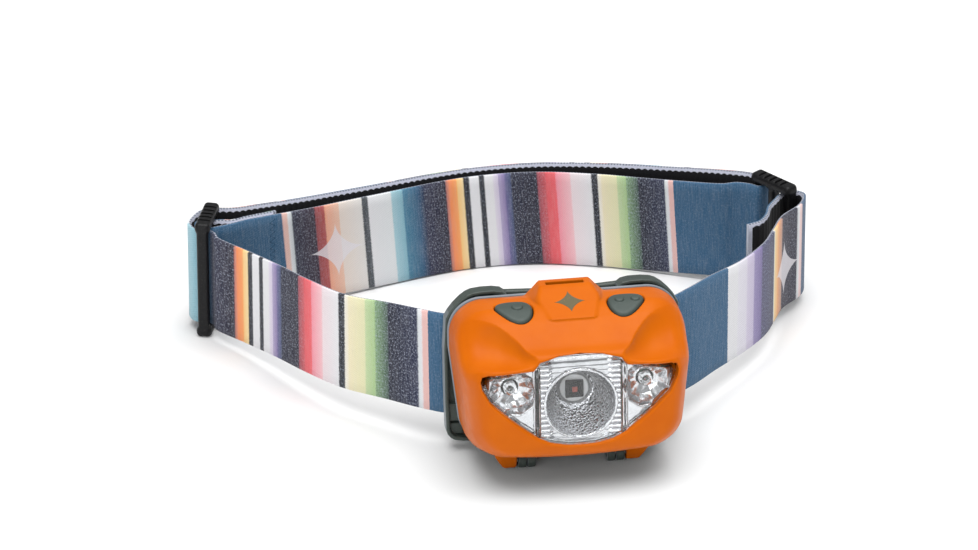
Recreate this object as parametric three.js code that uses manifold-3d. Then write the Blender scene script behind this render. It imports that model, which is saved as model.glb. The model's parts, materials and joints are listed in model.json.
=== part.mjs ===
// Headlamp on an elastic headband, standing on a table. Millimetres, +Z up, the lamp faces -Y.
// The head is drawn upright in its own frame (x across, y back, z up, y = 0 at the joint between the
// front housing and its gasket) and then pitched up onto its hinge feet.

import * as THREE from "three";
import { mergeVertices } from "three/addons/utils/BufferGeometryUtils.js";
import Module from "manifold-3d";

const wasm = await Module();
wasm.setup();

// ---------------------------------------------------------------- driving dimensions

const GAP = 0.3;                       // clearance between pieces that touch
const STRAP_WIDTH = 25;
const STRAP_THICKNESS = 1.2;
const HEAD_HALF_WIDTH = 27;
const HEAD_TOP = 17.5;
const HEAD_BOTTOM = -17.6;
const HEAD_TAPER = 0.1;                // share of its width that the head loses towards its lower edge
const TAPER_START = 6;
const TAPER_SPAN = 24;
const HEAD_DEPTH = 25.5;
const WALL = 1.3;
const HEAD_PITCH = THREE.MathUtils.degToRad(6);
const HEAD_PLACE = new THREE.Vector3(0, 6.5, 21.34);
const PLAN_CENTRE = new THREE.Vector2(-5, 40.19);   // middle of the whole object's plan

const HINGE_Y = -8;                    // tilt pin, under the head
const HINGE_Z = -20.4;
const KNUCKLE_RADIUS = 1.9;
const PIN_RADIUS = 0.6;
const PIN_HOLE_RADIUS = PIN_RADIUS + GAP;
const BRACKET_KNUCKLE = [8.4, 10.3];   // x ranges of the three knuckles on each pin
const COVER_KNUCKLE = [10.6, 12.5];
const EAR = [12.9, 15.7];

const CELL_DIAMETER = 10.5;            // AAA cell
const CELL_LENGTH = 44;
const CELL_PITCH = CELL_DIAMETER + 0.25;
const CELL_Y = -4.6;
const CELL_Z = 0.4;                    // height of the middle cell's axis
const TRAY_WALL_Y = -10.9;             // middle of the tray's front wall
const BOARD_Y = -12.5;                 // middle of the circuit board
const BOARD_THICKNESS = 1;

const BEAM_Z = -0.6;                   // height of the main reflector's axis
const REFLECTOR_RADIUS = 8.1;
const REFLECTOR_RIM_Y = 1.9 - HEAD_DEPTH;
const SIDE_LIGHT_X = 15.7;
const SIDE_LIGHT_Z = 2.7;

const BUTTON_X = 13.1;
const BUTTON_Y = -10.4;
const BUTTON_PROUD = 0.5;

const SLIDER_HEIGHT = 30.5;
const SLIDER_LENGTH = 12.6;
const SLIDER_BAR = 2;
const SLIDER_THICKNESS = 2.2;
const SLIDER_PITCH = (SLIDER_LENGTH - SLIDER_BAR) / 2;
const STRAP_LIFT = 2.7;                // height of the webbing's edge inside a slider
const LAYER = STRAP_THICKNESS + GAP;   // spacing of two layers of webbing face to face

// ---------------------------------------------------------------- materials

function finish(color, roughness, metalness = 0) {
  return new THREE.MeshStandardMaterial({ color, roughness, metalness });
}

const ORANGE = finish(0xe8650f, 0.38);
const DARK_PLASTIC = finish(0x46504b, 0.6);
const RING_GREY = finish(0x878c94, 0.5);
const BUTTON_RUBBER = finish(0x57655f, 0.7);
const CLEAR = finish(0xf0f4f6, 0.08);
const MIRROR = finish(0xd8dadd, 0.12, 1);
const STEEL = finish(0xb4b6b8, 0.3, 1);
const BLACK_PLASTIC = finish(0x232325, 0.45);
const BOARD_GREEN = finish(0x1f5a3a, 0.5);
const CELL_WRAP = finish(0x2f4a63, 0.4);
const EMITTER = finish(0x7a2f26, 0.4);
const WEBBING = finish(0x4d7f9c, 0.9);

// ---------------------------------------------------------------- geometry tools

function toSolid(geometry) {
  const bare = new THREE.BufferGeometry();
  bare.setAttribute("position", geometry.getAttribute("position").clone());
  if (geometry.index) bare.setIndex(geometry.index.clone());
  const merged = mergeVertices(bare, 1e-4);
  const vertProperties = new Float32Array(merged.getAttribute("position").array);
  const triVerts = new Uint32Array(merged.index.array);
  return new wasm.Manifold(new wasm.Mesh({ numProp: 3, vertProperties, triVerts }));
}

function toGeometry(solid) {
  const mesh = solid.getMesh();
  const geometry = new THREE.BufferGeometry();
  geometry.setAttribute("position", new THREE.BufferAttribute(mesh.vertProperties, 3));
  geometry.setIndex(new THREE.BufferAttribute(mesh.triVerts, 1));
  geometry.computeVertexNormals();
  return geometry;
}

function joined(...geometries) {
  return geometries.map(toSolid).reduce((whole, next) => whole.add(next));
}

// A box from its ranges along x, y and z.
function box([x0, x1], [y0, y1], [z0, z1]) {
  const geometry = new THREE.BoxGeometry(x1 - x0, y1 - y0, z1 - z0);
  return geometry.translate((x0 + x1) / 2, (y0 + y1) / 2, (z0 + z1) / 2);
}

// A shape drawn in (x, z), extruded along y.
function prismAlongY(shape, [y0, y1], curveSegments = 8) {
  const geometry = new THREE.ExtrudeGeometry(shape, { depth: y1 - y0, bevelEnabled: false, curveSegments });
  return geometry.rotateX(Math.PI / 2).translate(0, y1, 0);
}

// A shape drawn in (y, z), extruded along x.
function prismAlongX(shape, [x0, x1], curveSegments = 8) {
  const geometry = new THREE.ExtrudeGeometry(shape, { depth: x1 - x0, bevelEnabled: false, curveSegments });
  const axes = new THREE.Matrix4().makeBasis(
    new THREE.Vector3(0, 1, 0), new THREE.Vector3(0, 0, 1), new THREE.Vector3(1, 0, 0));
  return geometry.applyMatrix4(axes).translate(x0, 0, 0);
}

// A shape drawn in (x, y), extruded along z.
function prismAlongZ(shape, [z0, z1], curveSegments = 8) {
  const geometry = new THREE.ExtrudeGeometry(shape, { depth: z1 - z0, bevelEnabled: false, curveSegments });
  return geometry.translate(0, 0, z0);
}

function polygon(points) {
  return new THREE.Shape(points.map(([a, b]) => new THREE.Vector2(a, b)));
}

function disc(a, b, radius) {
  const shape = new THREE.Shape();
  shape.absarc(a, b, radius, 0, 2 * Math.PI);
  return shape;
}

function rodAlongX([x0, x1], y, z, radius, segments = 16) {
  const geometry = new THREE.CylinderGeometry(radius, radius, x1 - x0, segments);
  return geometry.rotateZ(Math.PI / 2).translate((x0 + x1) / 2, y, z);
}

function rodAlongY([y0, y1], x, z, radius, segments = 16) {
  const geometry = new THREE.CylinderGeometry(radius, radius, y1 - y0, segments);
  return geometry.translate(x, (y0 + y1) / 2, z);
}

function rodAlongZ([z0, z1], x, y, radius, segments = 16) {
  const geometry = new THREE.CylinderGeometry(radius, radius, z1 - z0, segments);
  return geometry.rotateX(Math.PI / 2).translate(x, y, (z0 + z1) / 2);
}

// The outline that the head's pieces share, in (x, z), counter-clockwise: a rounded rectangle that
// narrows towards its lower edge.
function headOutline(halfWidth, top, bottom, topRadius, lowRadius = topRadius, perCorner = 6) {
  const corners = [
    [halfWidth - topRadius, top - topRadius, topRadius],
    [topRadius - halfWidth, top - topRadius, topRadius],
    [lowRadius - halfWidth, bottom + lowRadius, lowRadius],
    [halfWidth - lowRadius, bottom + lowRadius, lowRadius],
  ];
  const points = [];
  corners.forEach(([cornerX, cornerZ, radius], quarter) => {
    for (let i = 0; i <= perCorner; i += 1) {
      const angle = (quarter + i / perCorner) * Math.PI / 2;
      const x = cornerX + radius * Math.cos(angle);
      const z = cornerZ + radius * Math.sin(angle);
      const down = THREE.MathUtils.clamp((TAPER_START - z) / TAPER_SPAN, 0, 1);
      points.push([x * (1 - HEAD_TAPER * down), z]);
    }
  });
  return points;
}

// A closed body through rings of points: the sides between them and a flat cap on each end.
function skin(rings) {
  const count = rings[0].length;
  const positions = rings.flat();
  const index = [];
  for (let r = 0; r < rings.length - 1; r += 1) {
    for (let i = 0; i < count; i += 1) {
      const a = r * count + i;
      const b = r * count + (i + 1) % count;
      index.push(a, b, b + count, a, b + count, a + count);
    }
  }
  for (const [ring, flip] of [[0, true], [rings.length - 1, false]]) {
    const middle = positions.length;
    const points = rings[ring];
    positions.push([0, 1, 2].map((k) => points.reduce((sum, p) => sum + p[k], 0) / count));
    for (let i = 0; i < count; i += 1) {
      const a = ring * count + i;
      const b = ring * count + (i + 1) % count;
      index.push(middle, flip ? b : a, flip ? a : b);
    }
  }
  const geometry = new THREE.BufferGeometry();
  geometry.setAttribute("position", new THREE.Float32BufferAttribute(positions.flat(), 3));
  geometry.setIndex(index);
  return geometry;
}

// ---------------------------------------------------------------- head outline

// Sections of the front housing from the joint to the face:
// depth from the joint, half width, top, bottom, radius of the upper and of the lower corners.
const HEAD_SECTIONS = [
  [0.3, 27, 17.5, -17.6, 8, 6],
  [4, 27, 18.3, -17.6, 8, 6],
  [9, 27, 18.4, -17.6, 8.3, 6],
  [14, 26.9, 16.9, -17.3, 9, 6.3],
  [18.5, 26.2, 14.2, -16.2, 8.5, 6.6],
  [21.5, 25, 12.6, -14.8, 7, 6.8],
  [24, 22.8, 11.9, -13.2, 6, 6.6],
  [HEAD_DEPTH, 16, 11.2, -11.6, 5.5, 6.2],
];

function headBody(inset, backExtra) {
  const rings = HEAD_SECTIONS.map(([depth, halfWidth, top, bottom, topRadius, lowRadius], i) => {
    const y = i === 0 ? backExtra : Math.min(-depth + inset, backExtra - 0.1 * i);
    // the inside corners are squarer than the outside, to leave room for the cells' ends
    const ease = 1.5 * inset;
    const radii = [topRadius - ease, lowRadius - ease];
    const outline = headOutline(halfWidth - inset, top - inset, bottom + inset, ...radii);
    return outline.map(([x, z]) => [x, y, z]);
  });
  return skin(rings);
}

const JOINT_Y = -HEAD_SECTIONS[0][0];

// The "smile" of the lens: a taller middle panel between two swept wings.
function lensOutline(inset) {
  const half = [
    [0, 11.6], [5, 11.4], [9.4, 10.4], [10.9, 8.5], [16.5, 8.3], [21.2, 7.9], [22, 6.2], [20.6, 1.6],
    [15.7, -3.4], [10.9, -7.6], [7.3, -9.5], [3.6, -10.3], [0, -10.5],
  ];
  const right = half.map(([x, z]) => new THREE.Vector2(x, z));
  const left = right.slice(1, -1).reverse().map((p) => new THREE.Vector2(-p.x, p.y));
  const points = [...right, ...left];
  const middle = new THREE.Vector2(0, 1);
  return new THREE.Shape(points.map((p) => {
    const inward = middle.clone().sub(p).setLength(inset);
    return p.clone().add(inward);
  }));
}

function buttonOutline(side, inset) {
  const [halfX, back, front] = [4.4 - inset, 4.2 - inset, 4.2 - inset];
  const shape = new THREE.Shape();
  shape.moveTo(-halfX, 0.8);
  shape.quadraticCurveTo(-halfX, back, 0, back);
  shape.quadraticCurveTo(halfX, back, halfX, 0.8);
  shape.quadraticCurveTo(halfX * 0.8, -front, 0, -front);
  shape.quadraticCurveTo(-halfX * 0.8, -front, -halfX, 0.8);
  const points = shape.getPoints(5).slice(0, -1);
  return polygon(points.map((p) => [side * BUTTON_X + p.x, BUTTON_Y + p.y]));
}

// ---------------------------------------------------------------- front housing

const BOSS_REAR_Z = 21.2;
const BOSS_FRONT_Z = 16.2;

function latchBoss() {
  const profile = polygon([[-14.4, BOSS_FRONT_Z - 3], [-14.4, BOSS_FRONT_Z], [-3.6, BOSS_REAR_Z],
    [JOINT_Y, BOSS_REAR_Z], [JOINT_Y, BOSS_FRONT_Z]]);
  const front = polygon([[-9.6, 15], [-9.6, 17.2], [-7.2, 19.2], [-5.2, 21.3], [5.2, 21.3],
    [7.2, 19.2], [9.6, 17.2], [9.6, 15]]);
  return toSolid(prismAlongX(profile, [-10, 10])).intersect(toSolid(prismAlongY(front, [-15, 0])));
}

// The room inside the boss, where the cover's hook comes in from behind.
function latchRoom() {
  const profile = polygon([[-7, 15], [-7, BOSS_FRONT_Z + 1.6], [-3.4, BOSS_REAR_Z - WALL - 0.3],
    [1, BOSS_REAR_Z - WALL - 0.3], [1, 15]]);
  return toSolid(prismAlongX(profile, [-4.6, 4.6]));
}

function hingeEar(side) {
  const front = polygon([[EAR[0], -17.3], [18.4, -17.3], [18, -18.6], [EAR[1], -22.5], [EAR[0], -22.5]]);
  const profile = new THREE.Shape();
  profile.moveTo(-12, -17.3);
  profile.lineTo(HINGE_Y - KNUCKLE_RADIUS, HINGE_Z);
  profile.absarc(HINGE_Y, HINGE_Z, KNUCKLE_RADIUS, Math.PI, 2 * Math.PI);
  profile.lineTo(-4.5, -17.3);
  const ear = toSolid(prismAlongY(front, [-14, -2])).intersect(toSolid(prismAlongX(profile, [10, 20])));
  const bored = ear.subtract(toSolid(rodAlongX([10, 20], HINGE_Y, HINGE_Z, PIN_HOLE_RADIUS)));
  return side > 0 ? bored : bored.mirror([1, 0, 0]);
}

function frontHousing() {
  let shell = toSolid(headBody(0, JOINT_Y)).add(latchBoss());
  shell = shell.subtract(toSolid(headBody(WALL, 1)));
  shell = shell.subtract(latchRoom());
  shell = shell.subtract(toSolid(prismAlongY(lensOutline(0), [-30, -19.5])));
  shell = shell.subtract(toSolid(box([-4.3, 4.3], [-3.4, -1.8], [19, 24])));
  for (const side of [-1, 1]) {
    shell = shell.subtract(toSolid(prismAlongZ(buttonOutline(side, 0), [12, 24])));
    shell = shell.add(hingeEar(side));
  }
  return toGeometry(shell);
}

function lens() {
  const plug = toSolid(prismAlongY(lensOutline(GAP), [-30, -19.5]));
  const outer = headBody(0, JOINT_Y);
  const behind = toSolid(headBody(0, JOINT_Y).translate(0, 1.4, 0));
  return toGeometry(toSolid(outer).intersect(plug).subtract(behind));
}

// ---------------------------------------------------------------- optics and electronics

// A reflector cup turned about an axis along y: radii and depths of the inside, then a thin wall.
function reflectorCup(x, z, rimY, depth, rimRadius, holeRadius, segments) {
  const steps = 6;
  const wall = 0.6;
  const inside = [];
  const outside = [];
  for (let i = 0; i <= steps; i += 1) {
    const share = i / steps;
    const radius = holeRadius + (rimRadius - holeRadius) * Math.sqrt(share);
    inside.push(new THREE.Vector2(radius, depth * (1 - share)));
    outside.push(new THREE.Vector2(radius + wall, depth * (1 - share)));
  }
  const profile = [...inside, ...outside.reverse(), inside[0].clone()];
  const cup = new THREE.LatheGeometry(profile, segments);
  return cup.translate(x, rimY, z);
}

function sideLed(x) {
  const z = SIDE_LIGHT_Z;
  const dome = new THREE.SphereGeometry(1.5, 12, 8).translate(x, -20.2, z);
  let led = joined(dome, rodAlongY([-20.2, -17], x, z, 1.5, 12), rodAlongY([-17.4, -16.6], x, z, 1.9, 12));
  const boardFace = BOARD_Y - BOARD_THICKNESS / 2 - GAP;
  for (const side of [-1, 1]) {
    const lead = [x + side * 1.27 / 2 - 0.25, x + side * 1.27 / 2 + 0.25];
    led = led.add(toSolid(box(lead, [-16.8, boardFace], [z - 0.25, z + 0.25])));
  }
  return toGeometry(led);
}

function mainLed() {
  const face = BOARD_Y - BOARD_THICKNESS / 2 - GAP;
  const base = rodAlongY([face - 0.8, face], 0, BEAM_Z, 2.5, 20);
  const frame = box([-1.75, 1.75], [face - 1.6, face - 0.6], [BEAM_Z - 1.75, BEAM_Z + 1.75]);
  const window = box([-1.35, 1.35], [face - 2, face - 1.3], [BEAM_Z - 1.35, BEAM_Z + 1.35]);
  return toGeometry(joined(base, frame).subtract(toSolid(window)));
}

function ledDie() {
  const floor = BOARD_Y - BOARD_THICKNESS / 2 - GAP - 1.3;
  return box([-0.6, 0.6], [floor - 0.55, floor - 0.3], [BEAM_Z - 0.6, BEAM_Z + 0.6]);
}

const SCREW_X = 20.5;
const SCREW_Z = -9.5;

function circuitBoard() {
  const outline = headOutline(22.8, 12.4, -12.6, 2, 2, 3);
  const y = [BOARD_Y - BOARD_THICKNESS / 2, BOARD_Y + BOARD_THICKNESS / 2];
  let board = toSolid(prismAlongY(polygon(outline), y));
  for (const side of [-1, 1]) {
    board = board.subtract(toSolid(rodAlongY([-15, -10], side * SCREW_X, SCREW_Z, 1.3, 12)));
  }
  return toGeometry(board);
}

function boardScrew(side) {
  const x = side * SCREW_X;
  const face = BOARD_Y - BOARD_THICKNESS / 2 - GAP;
  const screw = joined(rodAlongY([face - 1.1, face], x, SCREW_Z, 1.9, 12),
    rodAlongY([face - 0.1, -9.9], x, SCREW_Z, 0.9, 12));
  const slot = box([x - 2, x + 2], [face - 2, face - 0.6], [SCREW_Z - 0.25, SCREW_Z + 0.25]);
  return toGeometry(screw.subtract(toSolid(slot)));
}

// Push switch on the board's top edge, with a well for its plunger.
const SWITCH_TOP = 15.2;
const SWITCH_BASE = 12.7;
const SWITCH_Y = -12.7;

function pushSwitch(side) {
  const x = side * BUTTON_X;
  const body = toSolid(box([x - 2.2, x + 2.2], [SWITCH_Y - 1.2, SWITCH_Y + 1.2], [SWITCH_BASE, SWITCH_TOP]));
  return toGeometry(body.subtract(toSolid(rodAlongZ([SWITCH_TOP - 1.6, SWITCH_TOP + 1], x, SWITCH_Y, 1, 12))));
}

function switchPlunger(side) {
  return rodAlongZ([SWITCH_TOP - 0.9, SWITCH_TOP + 0.5], side * BUTTON_X, SWITCH_Y, 0.7, 12);
}

function button(side) {
  const raised = toSolid(headBody(0, JOINT_Y).translate(0, 0, BUTTON_PROUD));
  const overCells = toSolid(box([-30, 30], [-9, 0], [10, 16.9]));
  const cap = toSolid(prismAlongZ(buttonOutline(side, GAP), [16, 24])).intersect(raised).subtract(overCells);
  const stem = rodAlongZ([SWITCH_TOP + 0.5 + GAP, 16.4], side * BUTTON_X, SWITCH_Y, 1.2, 12);
  return toGeometry(cap.add(toSolid(stem)));
}

// ---------------------------------------------------------------- battery tray, cells and contacts

const CONTACT_X = 23.2;

function batteryTray() {
  const outline = headOutline(HEAD_HALF_WIDTH - 1.8, 15.2, -15.8, 6, 4, 4);
  const plate = toSolid(prismAlongY(polygon(outline), [TRAY_WALL_Y - 0.5, TRAY_WALL_Y + 0.5]));
  const ends = toSolid(prismAlongY(polygon(outline), [TRAY_WALL_Y, -1.5]));
  const room = joined(box([-CONTACT_X - 0.5, CONTACT_X + 0.5], [TRAY_WALL_Y - 1, 0], [-20, 20]),
    box([-30, 30], [TRAY_WALL_Y + 0.5, 0], [-20, -5]));
  let tray = plate.add(ends.subtract(room));
  for (const side of [-1, 1]) {
    const boss = toSolid(rodAlongY([TRAY_WALL_Y - 0.6, TRAY_WALL_Y + 1.2], side * SCREW_X, SCREW_Z, 2.2, 12));
    const hole = toSolid(rodAlongY([-15, -5], side * SCREW_X, SCREW_Z, 1.3, 12));
    tray = tray.add(boss).subtract(hole);
  }
  const cells = [-1, 0, 1].map((row) => toSolid(
    rodAlongX([-23.6, 23.6], CELL_Y, CELL_Z + row * CELL_PITCH, CELL_DIAMETER / 2 + GAP, 32)));
  return toGeometry(cells.reduce((whole, cell) => whole.subtract(cell), tray));
}

// One cell, lying along x with its button end towards the given side.
function cell(row) {
  const side = row === 0 ? -1 : 1;
  const radius = CELL_DIAMETER / 2;
  const profile = [[0, 0], [radius - 0.5, 0], [radius, 0.5], [radius, CELL_LENGTH - 1.5],
    [radius - 0.5, CELL_LENGTH - 1], [1.9, CELL_LENGTH - 1], [1.9, CELL_LENGTH], [0, CELL_LENGTH]];
  const body = new THREE.LatheGeometry(profile.map(([r, h]) => new THREE.Vector2(r, h)), 24);
  body.rotateZ(-side * Math.PI / 2);
  const plusFace = CONTACT_X - 0.2 - GAP;
  return body.translate(side * (plusFace - CELL_LENGTH), CELL_Y, CELL_Z + row * CELL_PITCH);
}

// A plate standing on a tray end, from the lowest to the highest row of cells that it touches.
function contactPlate(side, lowRow, highRow) {
  const reach = 1.8;
  const z = [CELL_Z + lowRow * CELL_PITCH - reach, CELL_Z + highRow * CELL_PITCH + reach];
  const x = [side * CONTACT_X - 0.2, side * CONTACT_X + 0.2];
  return box(x, [-8.4, -1.8], z);
}

// Conical contact spring against the flat end of a cell.
class Spiral extends THREE.Curve {
  getPoint(t) {
    const angle = t * 2.5 * 2 * Math.PI;
    const radius = 3.2 - 1.4 * t;
    return new THREE.Vector3(0.4 * t, radius * Math.cos(angle), radius * Math.sin(angle));
  }
}

function contactSpring(row) {
  const side = row === 0 ? 1 : -1;
  const wire = disc(0, 0, 0.25);
  const spring = new THREE.ExtrudeGeometry(wire,
    { steps: 40, extrudePath: new Spiral(), curveSegments: 3, bevelEnabled: false });
  if (side > 0) spring.rotateZ(Math.PI);
  return spring.translate(side * (CONTACT_X - 0.5 - GAP), CELL_Y, CELL_Z + row * CELL_PITCH);
}

// ---------------------------------------------------------------- gasket, rear cover, pins, bracket

function gasket() {
  const shape = polygon(headOutline(HEAD_HALF_WIDTH + 0.2, HEAD_TOP + 0.2, HEAD_BOTTOM, 8, 6));
  shape.holes.push(polygon(headOutline(HEAD_HALF_WIDTH - 2, HEAD_TOP - 2, HEAD_BOTTOM + 2, 6, 4)));
  return prismAlongY(shape, [0, 0.9]);
}

// A flat arm from a plate behind the head, forward under it to the knuckle on the pin.
function kneeArm([x0, x1], plateY, plateZ) {
  const shape = new THREE.Shape();
  shape.moveTo(HINGE_Y, HINGE_Z + KNUCKLE_RADIUS);
  shape.absarc(HINGE_Y, HINGE_Z, KNUCKLE_RADIUS, Math.PI / 2, 1.5 * Math.PI);
  shape.lineTo(plateY[0] - 4, -20.4);
  shape.lineTo(plateY[1], -20.4);
  shape.lineTo(plateY[1], plateZ);
  shape.lineTo(plateY[0], plateZ);
  shape.lineTo(plateY[0], HINGE_Z + KNUCKLE_RADIUS);
  return toSolid(prismAlongX(shape, [x0, x1]));
}

function kneeArms(range, plateY, plateZ) {
  const right = kneeArm(range, plateY, plateZ);
  const bores = toSolid(rodAlongX([-20, 20], HINGE_Y, HINGE_Z, PIN_HOLE_RADIUS));
  return right.add(right.mirror([1, 0, 0])).subtract(bores);
}

const COVER_Y = [1.2, 2.6];

function rearCover() {
  const plate = toSolid(prismAlongY(polygon(headOutline(25.2, 15.2, -15.2, 9.5, 6)), COVER_Y));
  const hook = polygon([[COVER_Y[1], 13.5], [COVER_Y[1], 18.9], [-2.6, 18.9], [-2.6, 17.7], [COVER_Y[0], 17.7],
    [COVER_Y[0], 13.5]]);
  const latch = toSolid(prismAlongX(hook, [-3.8, 3.8]));
  return toGeometry(plate.add(latch).add(kneeArms(COVER_KNUCKLE, COVER_Y, -14.5)));
}

function hingePin(side) {
  return rodAlongX([side * 12 - 3.4, side * 12 + 3.4], HINGE_Y, HINGE_Z, PIN_RADIUS);
}

const BRACKET_Y = [3.2, 5];
const CHANNEL_Y = [5, 7.2];
const LOOP_Y = [7.2, 8.7];
const BRACKET_HALF = [[18.4, -20.4], [19.4, -18.8], [25.4, -18.7], [27.8, -15.4], [27.8, 11.6],
  [23.2, 17.4], [20.6, 18.6], [14.6, 18.6], [12.8, 17]];
const BRACKET_OUTLINE = [...BRACKET_HALF, ...BRACKET_HALF.map(([x, z]) => [-x, z]).reverse()];

function bracket() {
  const outline = polygon(BRACKET_OUTLINE);
  let body = toSolid(prismAlongY(outline, BRACKET_Y));
  const wall = polygon(BRACKET_OUTLINE);
  wall.holes.push(polygon(BRACKET_OUTLINE.map(([x, z]) => [x * 0.937, z * 0.9])));
  const lugs = toSolid(prismAlongY(wall, [COVER_Y[0], BRACKET_Y[0] + 0.2]));
  body = body.add(lugs.subtract(toSolid(box([-13, 13], [0, BRACKET_Y[0]], [-30, 30]))));
  body = body.add(kneeArms(BRACKET_KNUCKLE, BRACKET_Y, -16));
  const [strapLow, strapHigh] = [-13.5 - GAP, 11.5 + GAP];
  for (const side of [-1, 1]) {
    const x = side > 0 ? [15, 24.5] : [-24.5, -15];
    const loop = joined(box(x, LOOP_Y, [strapLow - 2.4, strapHigh + 2.4]),
      box(x, [BRACKET_Y[1] - 0.2, LOOP_Y[0] + 0.2], [strapHigh, strapHigh + 2.4]),
      box(x, [BRACKET_Y[1] - 0.2, LOOP_Y[0] + 0.2], [strapLow - 2.4, strapLow]));
    body = body.add(loop);
  }
  return toGeometry(body);
}

// ---------------------------------------------------------------- headband

// A slider stands on the table: its middle bar's place in plan and the direction across its bars.
function sliderFrame(x, y, dx, dy) {
  const along = new THREE.Vector2(dx, dy).normalize();
  const middle = new THREE.Vector2(x, y);
  const outward = dx < 0 ? new THREE.Vector2(along.y, -along.x) : new THREE.Vector2(-along.y, along.x);
  const place = (s, q) => middle.clone().addScaledVector(along, s).addScaledVector(outward, q);
  return { along, middle, place };
}

const LEFT_SLIDER = sliderFrame(-74.7, 76.2, 0.33, 0.945);
const RIGHT_SLIDER = sliderFrame(62.4, 72.9, 0.58, -0.81);

function slider(frame) {
  const half = SLIDER_LENGTH / 2;
  const windowLow = STRAP_LIFT - GAP;
  const window = [windowLow, windowLow + STRAP_WIDTH + 2 * GAP];
  const capHalf = SLIDER_THICKNESS / 2 + 0.5;
  let body = joined(box([-half, half], [-capHalf, capHalf], [0, window[0]]),
    box([-half, half], [-capHalf, capHalf], [window[1], SLIDER_HEIGHT]));
  for (const x of [-SLIDER_PITCH, 0, SLIDER_PITCH]) {
    const bar = box([x - SLIDER_BAR / 2, x + SLIDER_BAR / 2],
      [-SLIDER_THICKNESS / 2, SLIDER_THICKNESS / 2], [window[0] - 0.2, window[1] + 0.2]);
    body = body.add(toSolid(bar));
  }
  const geometry = toGeometry(body);
  geometry.rotateZ(Math.atan2(frame.along.y, frame.along.x));
  return geometry.translate(frame.middle.x, frame.middle.y, 0);
}

// The webbing's route in plan, one continuous piece: [x, y, height of its lower edge].
// It starts at the loose tail, runs through the right slider, round to the lamp and behind it,
// through the left slider, along the outside at the back, round the right slider's far bar,
// back along the inside and ends folded round the left slider's middle bar.
function strapRoute() {
  const at = (frame, s, q, z = STRAP_LIFT) => {
    const p = frame.place(s, q);
    return [p.x, p.y, z];
  };
  const left = (s, q, z) => at(LEFT_SLIDER, s, q, z);
  const right = (s, q, z) => at(RIGHT_SLIDER, s, q, z);
  const lampY = HEAD_PLACE.y + 4.65;
  return [
    [52.7, 55.6, STRAP_LIFT], [55.9, 57, STRAP_LIFT], [58.2, 60.2, STRAP_LIFT],
    [59.6, 64.2, STRAP_LIFT], right(3.9, -3.2), right(3.2, -1.2), right(3.2, 1.1), right(4, 2.6),
    right(6.4, 3.3), right(8.4, 1.6), [66.6, 62.6, 3.2], [61.4, 56.2, 4], [57.8, 48.5, 4.8],
    [54.2, 41, 5.4], [47.4, 32, 6.2], [38.6, 22.6, 7], [31.4, 15, 7.4],
    [26, lampY + 0.1, 7.4], [20, lampY, 7.4], [0, lampY, 7.4], [-20, lampY, 7.4], [-26, lampY + 0.1, 7.4],
    [-31.5, 14.2, 7.4], [-40, 21.6, 6.9], [-48.6, 29.8, 6], [-55.6, 39.8, 5.2], [-61.4, 50, 4.3],
    [-67.8, 60.6, 3.2], left(-6.6, -3.7), left(-4.4, -2.5), left(-3.4, -1.1), left(-3.4, 0.9),
    left(-2.9, 2.7), left(-0.4, 4.3), left(3.2, 4.1), left(6.4, 2.9), left(8.2, 0.7, 2.6), [-67.4, 83.9, 2.4],
    [-60, 85.6, 2], [-50.9, 88.6, 1.2], [-34, 93.4, 0.6], [-9, 99.2, 0.4], [8, 99.6, 0.4],
    [24, 97, 0.4], [41, 91.2, 1], [52, 85.9, 2], right(-8.8, 2.2), right(-5.6, 2.3), right(-3.6, 1.7),
    right(-3.1, 0), right(-3.6, -1.7), right(-5.6, -2.3), right(-9.2, -3.7, 2.3), [51, 79, 1.8],
    [41.3, 83.5, 1], [32.3, 87.6, 0.5], [23.1, 91.1, 0.4], [7.5, 95, 0.3], [-8.8, 94.9, 0.3],
    [-33.7, 88.3, 0.6], [-50, 82.4, 1.4], [-59, 79, 2.2], [-65.3, 76.6], [-69.4, 75.1], left(-0.9, -3.1),
    left(-1.9, -1.4), left(-2, 0.9), left(-1.4, 2.1), left(0, 2.6), left(1.4, 2.1), left(2, 0.9),
    left(2, -1.2), left(2.5, -3), [-68.9, 77.1], [-64.8, 78.5], [-57.6, 81.3, 2.2],
  ].map(([x, y, z = STRAP_LIFT]) => new THREE.Vector3(x, y, z));
}

function strap() {
  const route = new THREE.CatmullRomCurve3(strapRoute(), false, "centripetal");
  const samples = 300;
  const up = new THREE.Vector3();
  const rings = [];
  for (let i = 0; i <= samples; i += 1) {
    const t = i / samples;
    const p = route.getPointAt(t);
    const ahead = route.getTangentAt(t).setZ(0).normalize();
    const side = new THREE.Vector3(-ahead.y, ahead.x, 0).multiplyScalar(STRAP_THICKNESS / 2);
    // behind the lamp the webbing leans back with the bracket
    const near = 1 - THREE.MathUtils.smoothstep(Math.hypot(p.x, p.y - 12), 30, 52);
    up.set(0, Math.sin(HEAD_PITCH * near), Math.cos(HEAD_PITCH * near)).multiplyScalar(STRAP_WIDTH);
    const low = [p.clone().add(side), p.clone().sub(side)];
    const high = low.map((v) => v.clone().add(up));
    rings.push([low[0], high[0], high[1], low[1]].map((v) => v.toArray()));
  }
  return skin(rings);
}

// ---------------------------------------------------------------- assembly

function add(group, name, geometry, material) {
  const mesh = new THREE.Mesh(geometry, material);
  mesh.name = name;
  group.add(mesh);
}

const head = new THREE.Group();
head.position.copy(HEAD_PLACE);
head.rotation.x = -HEAD_PITCH;

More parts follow.
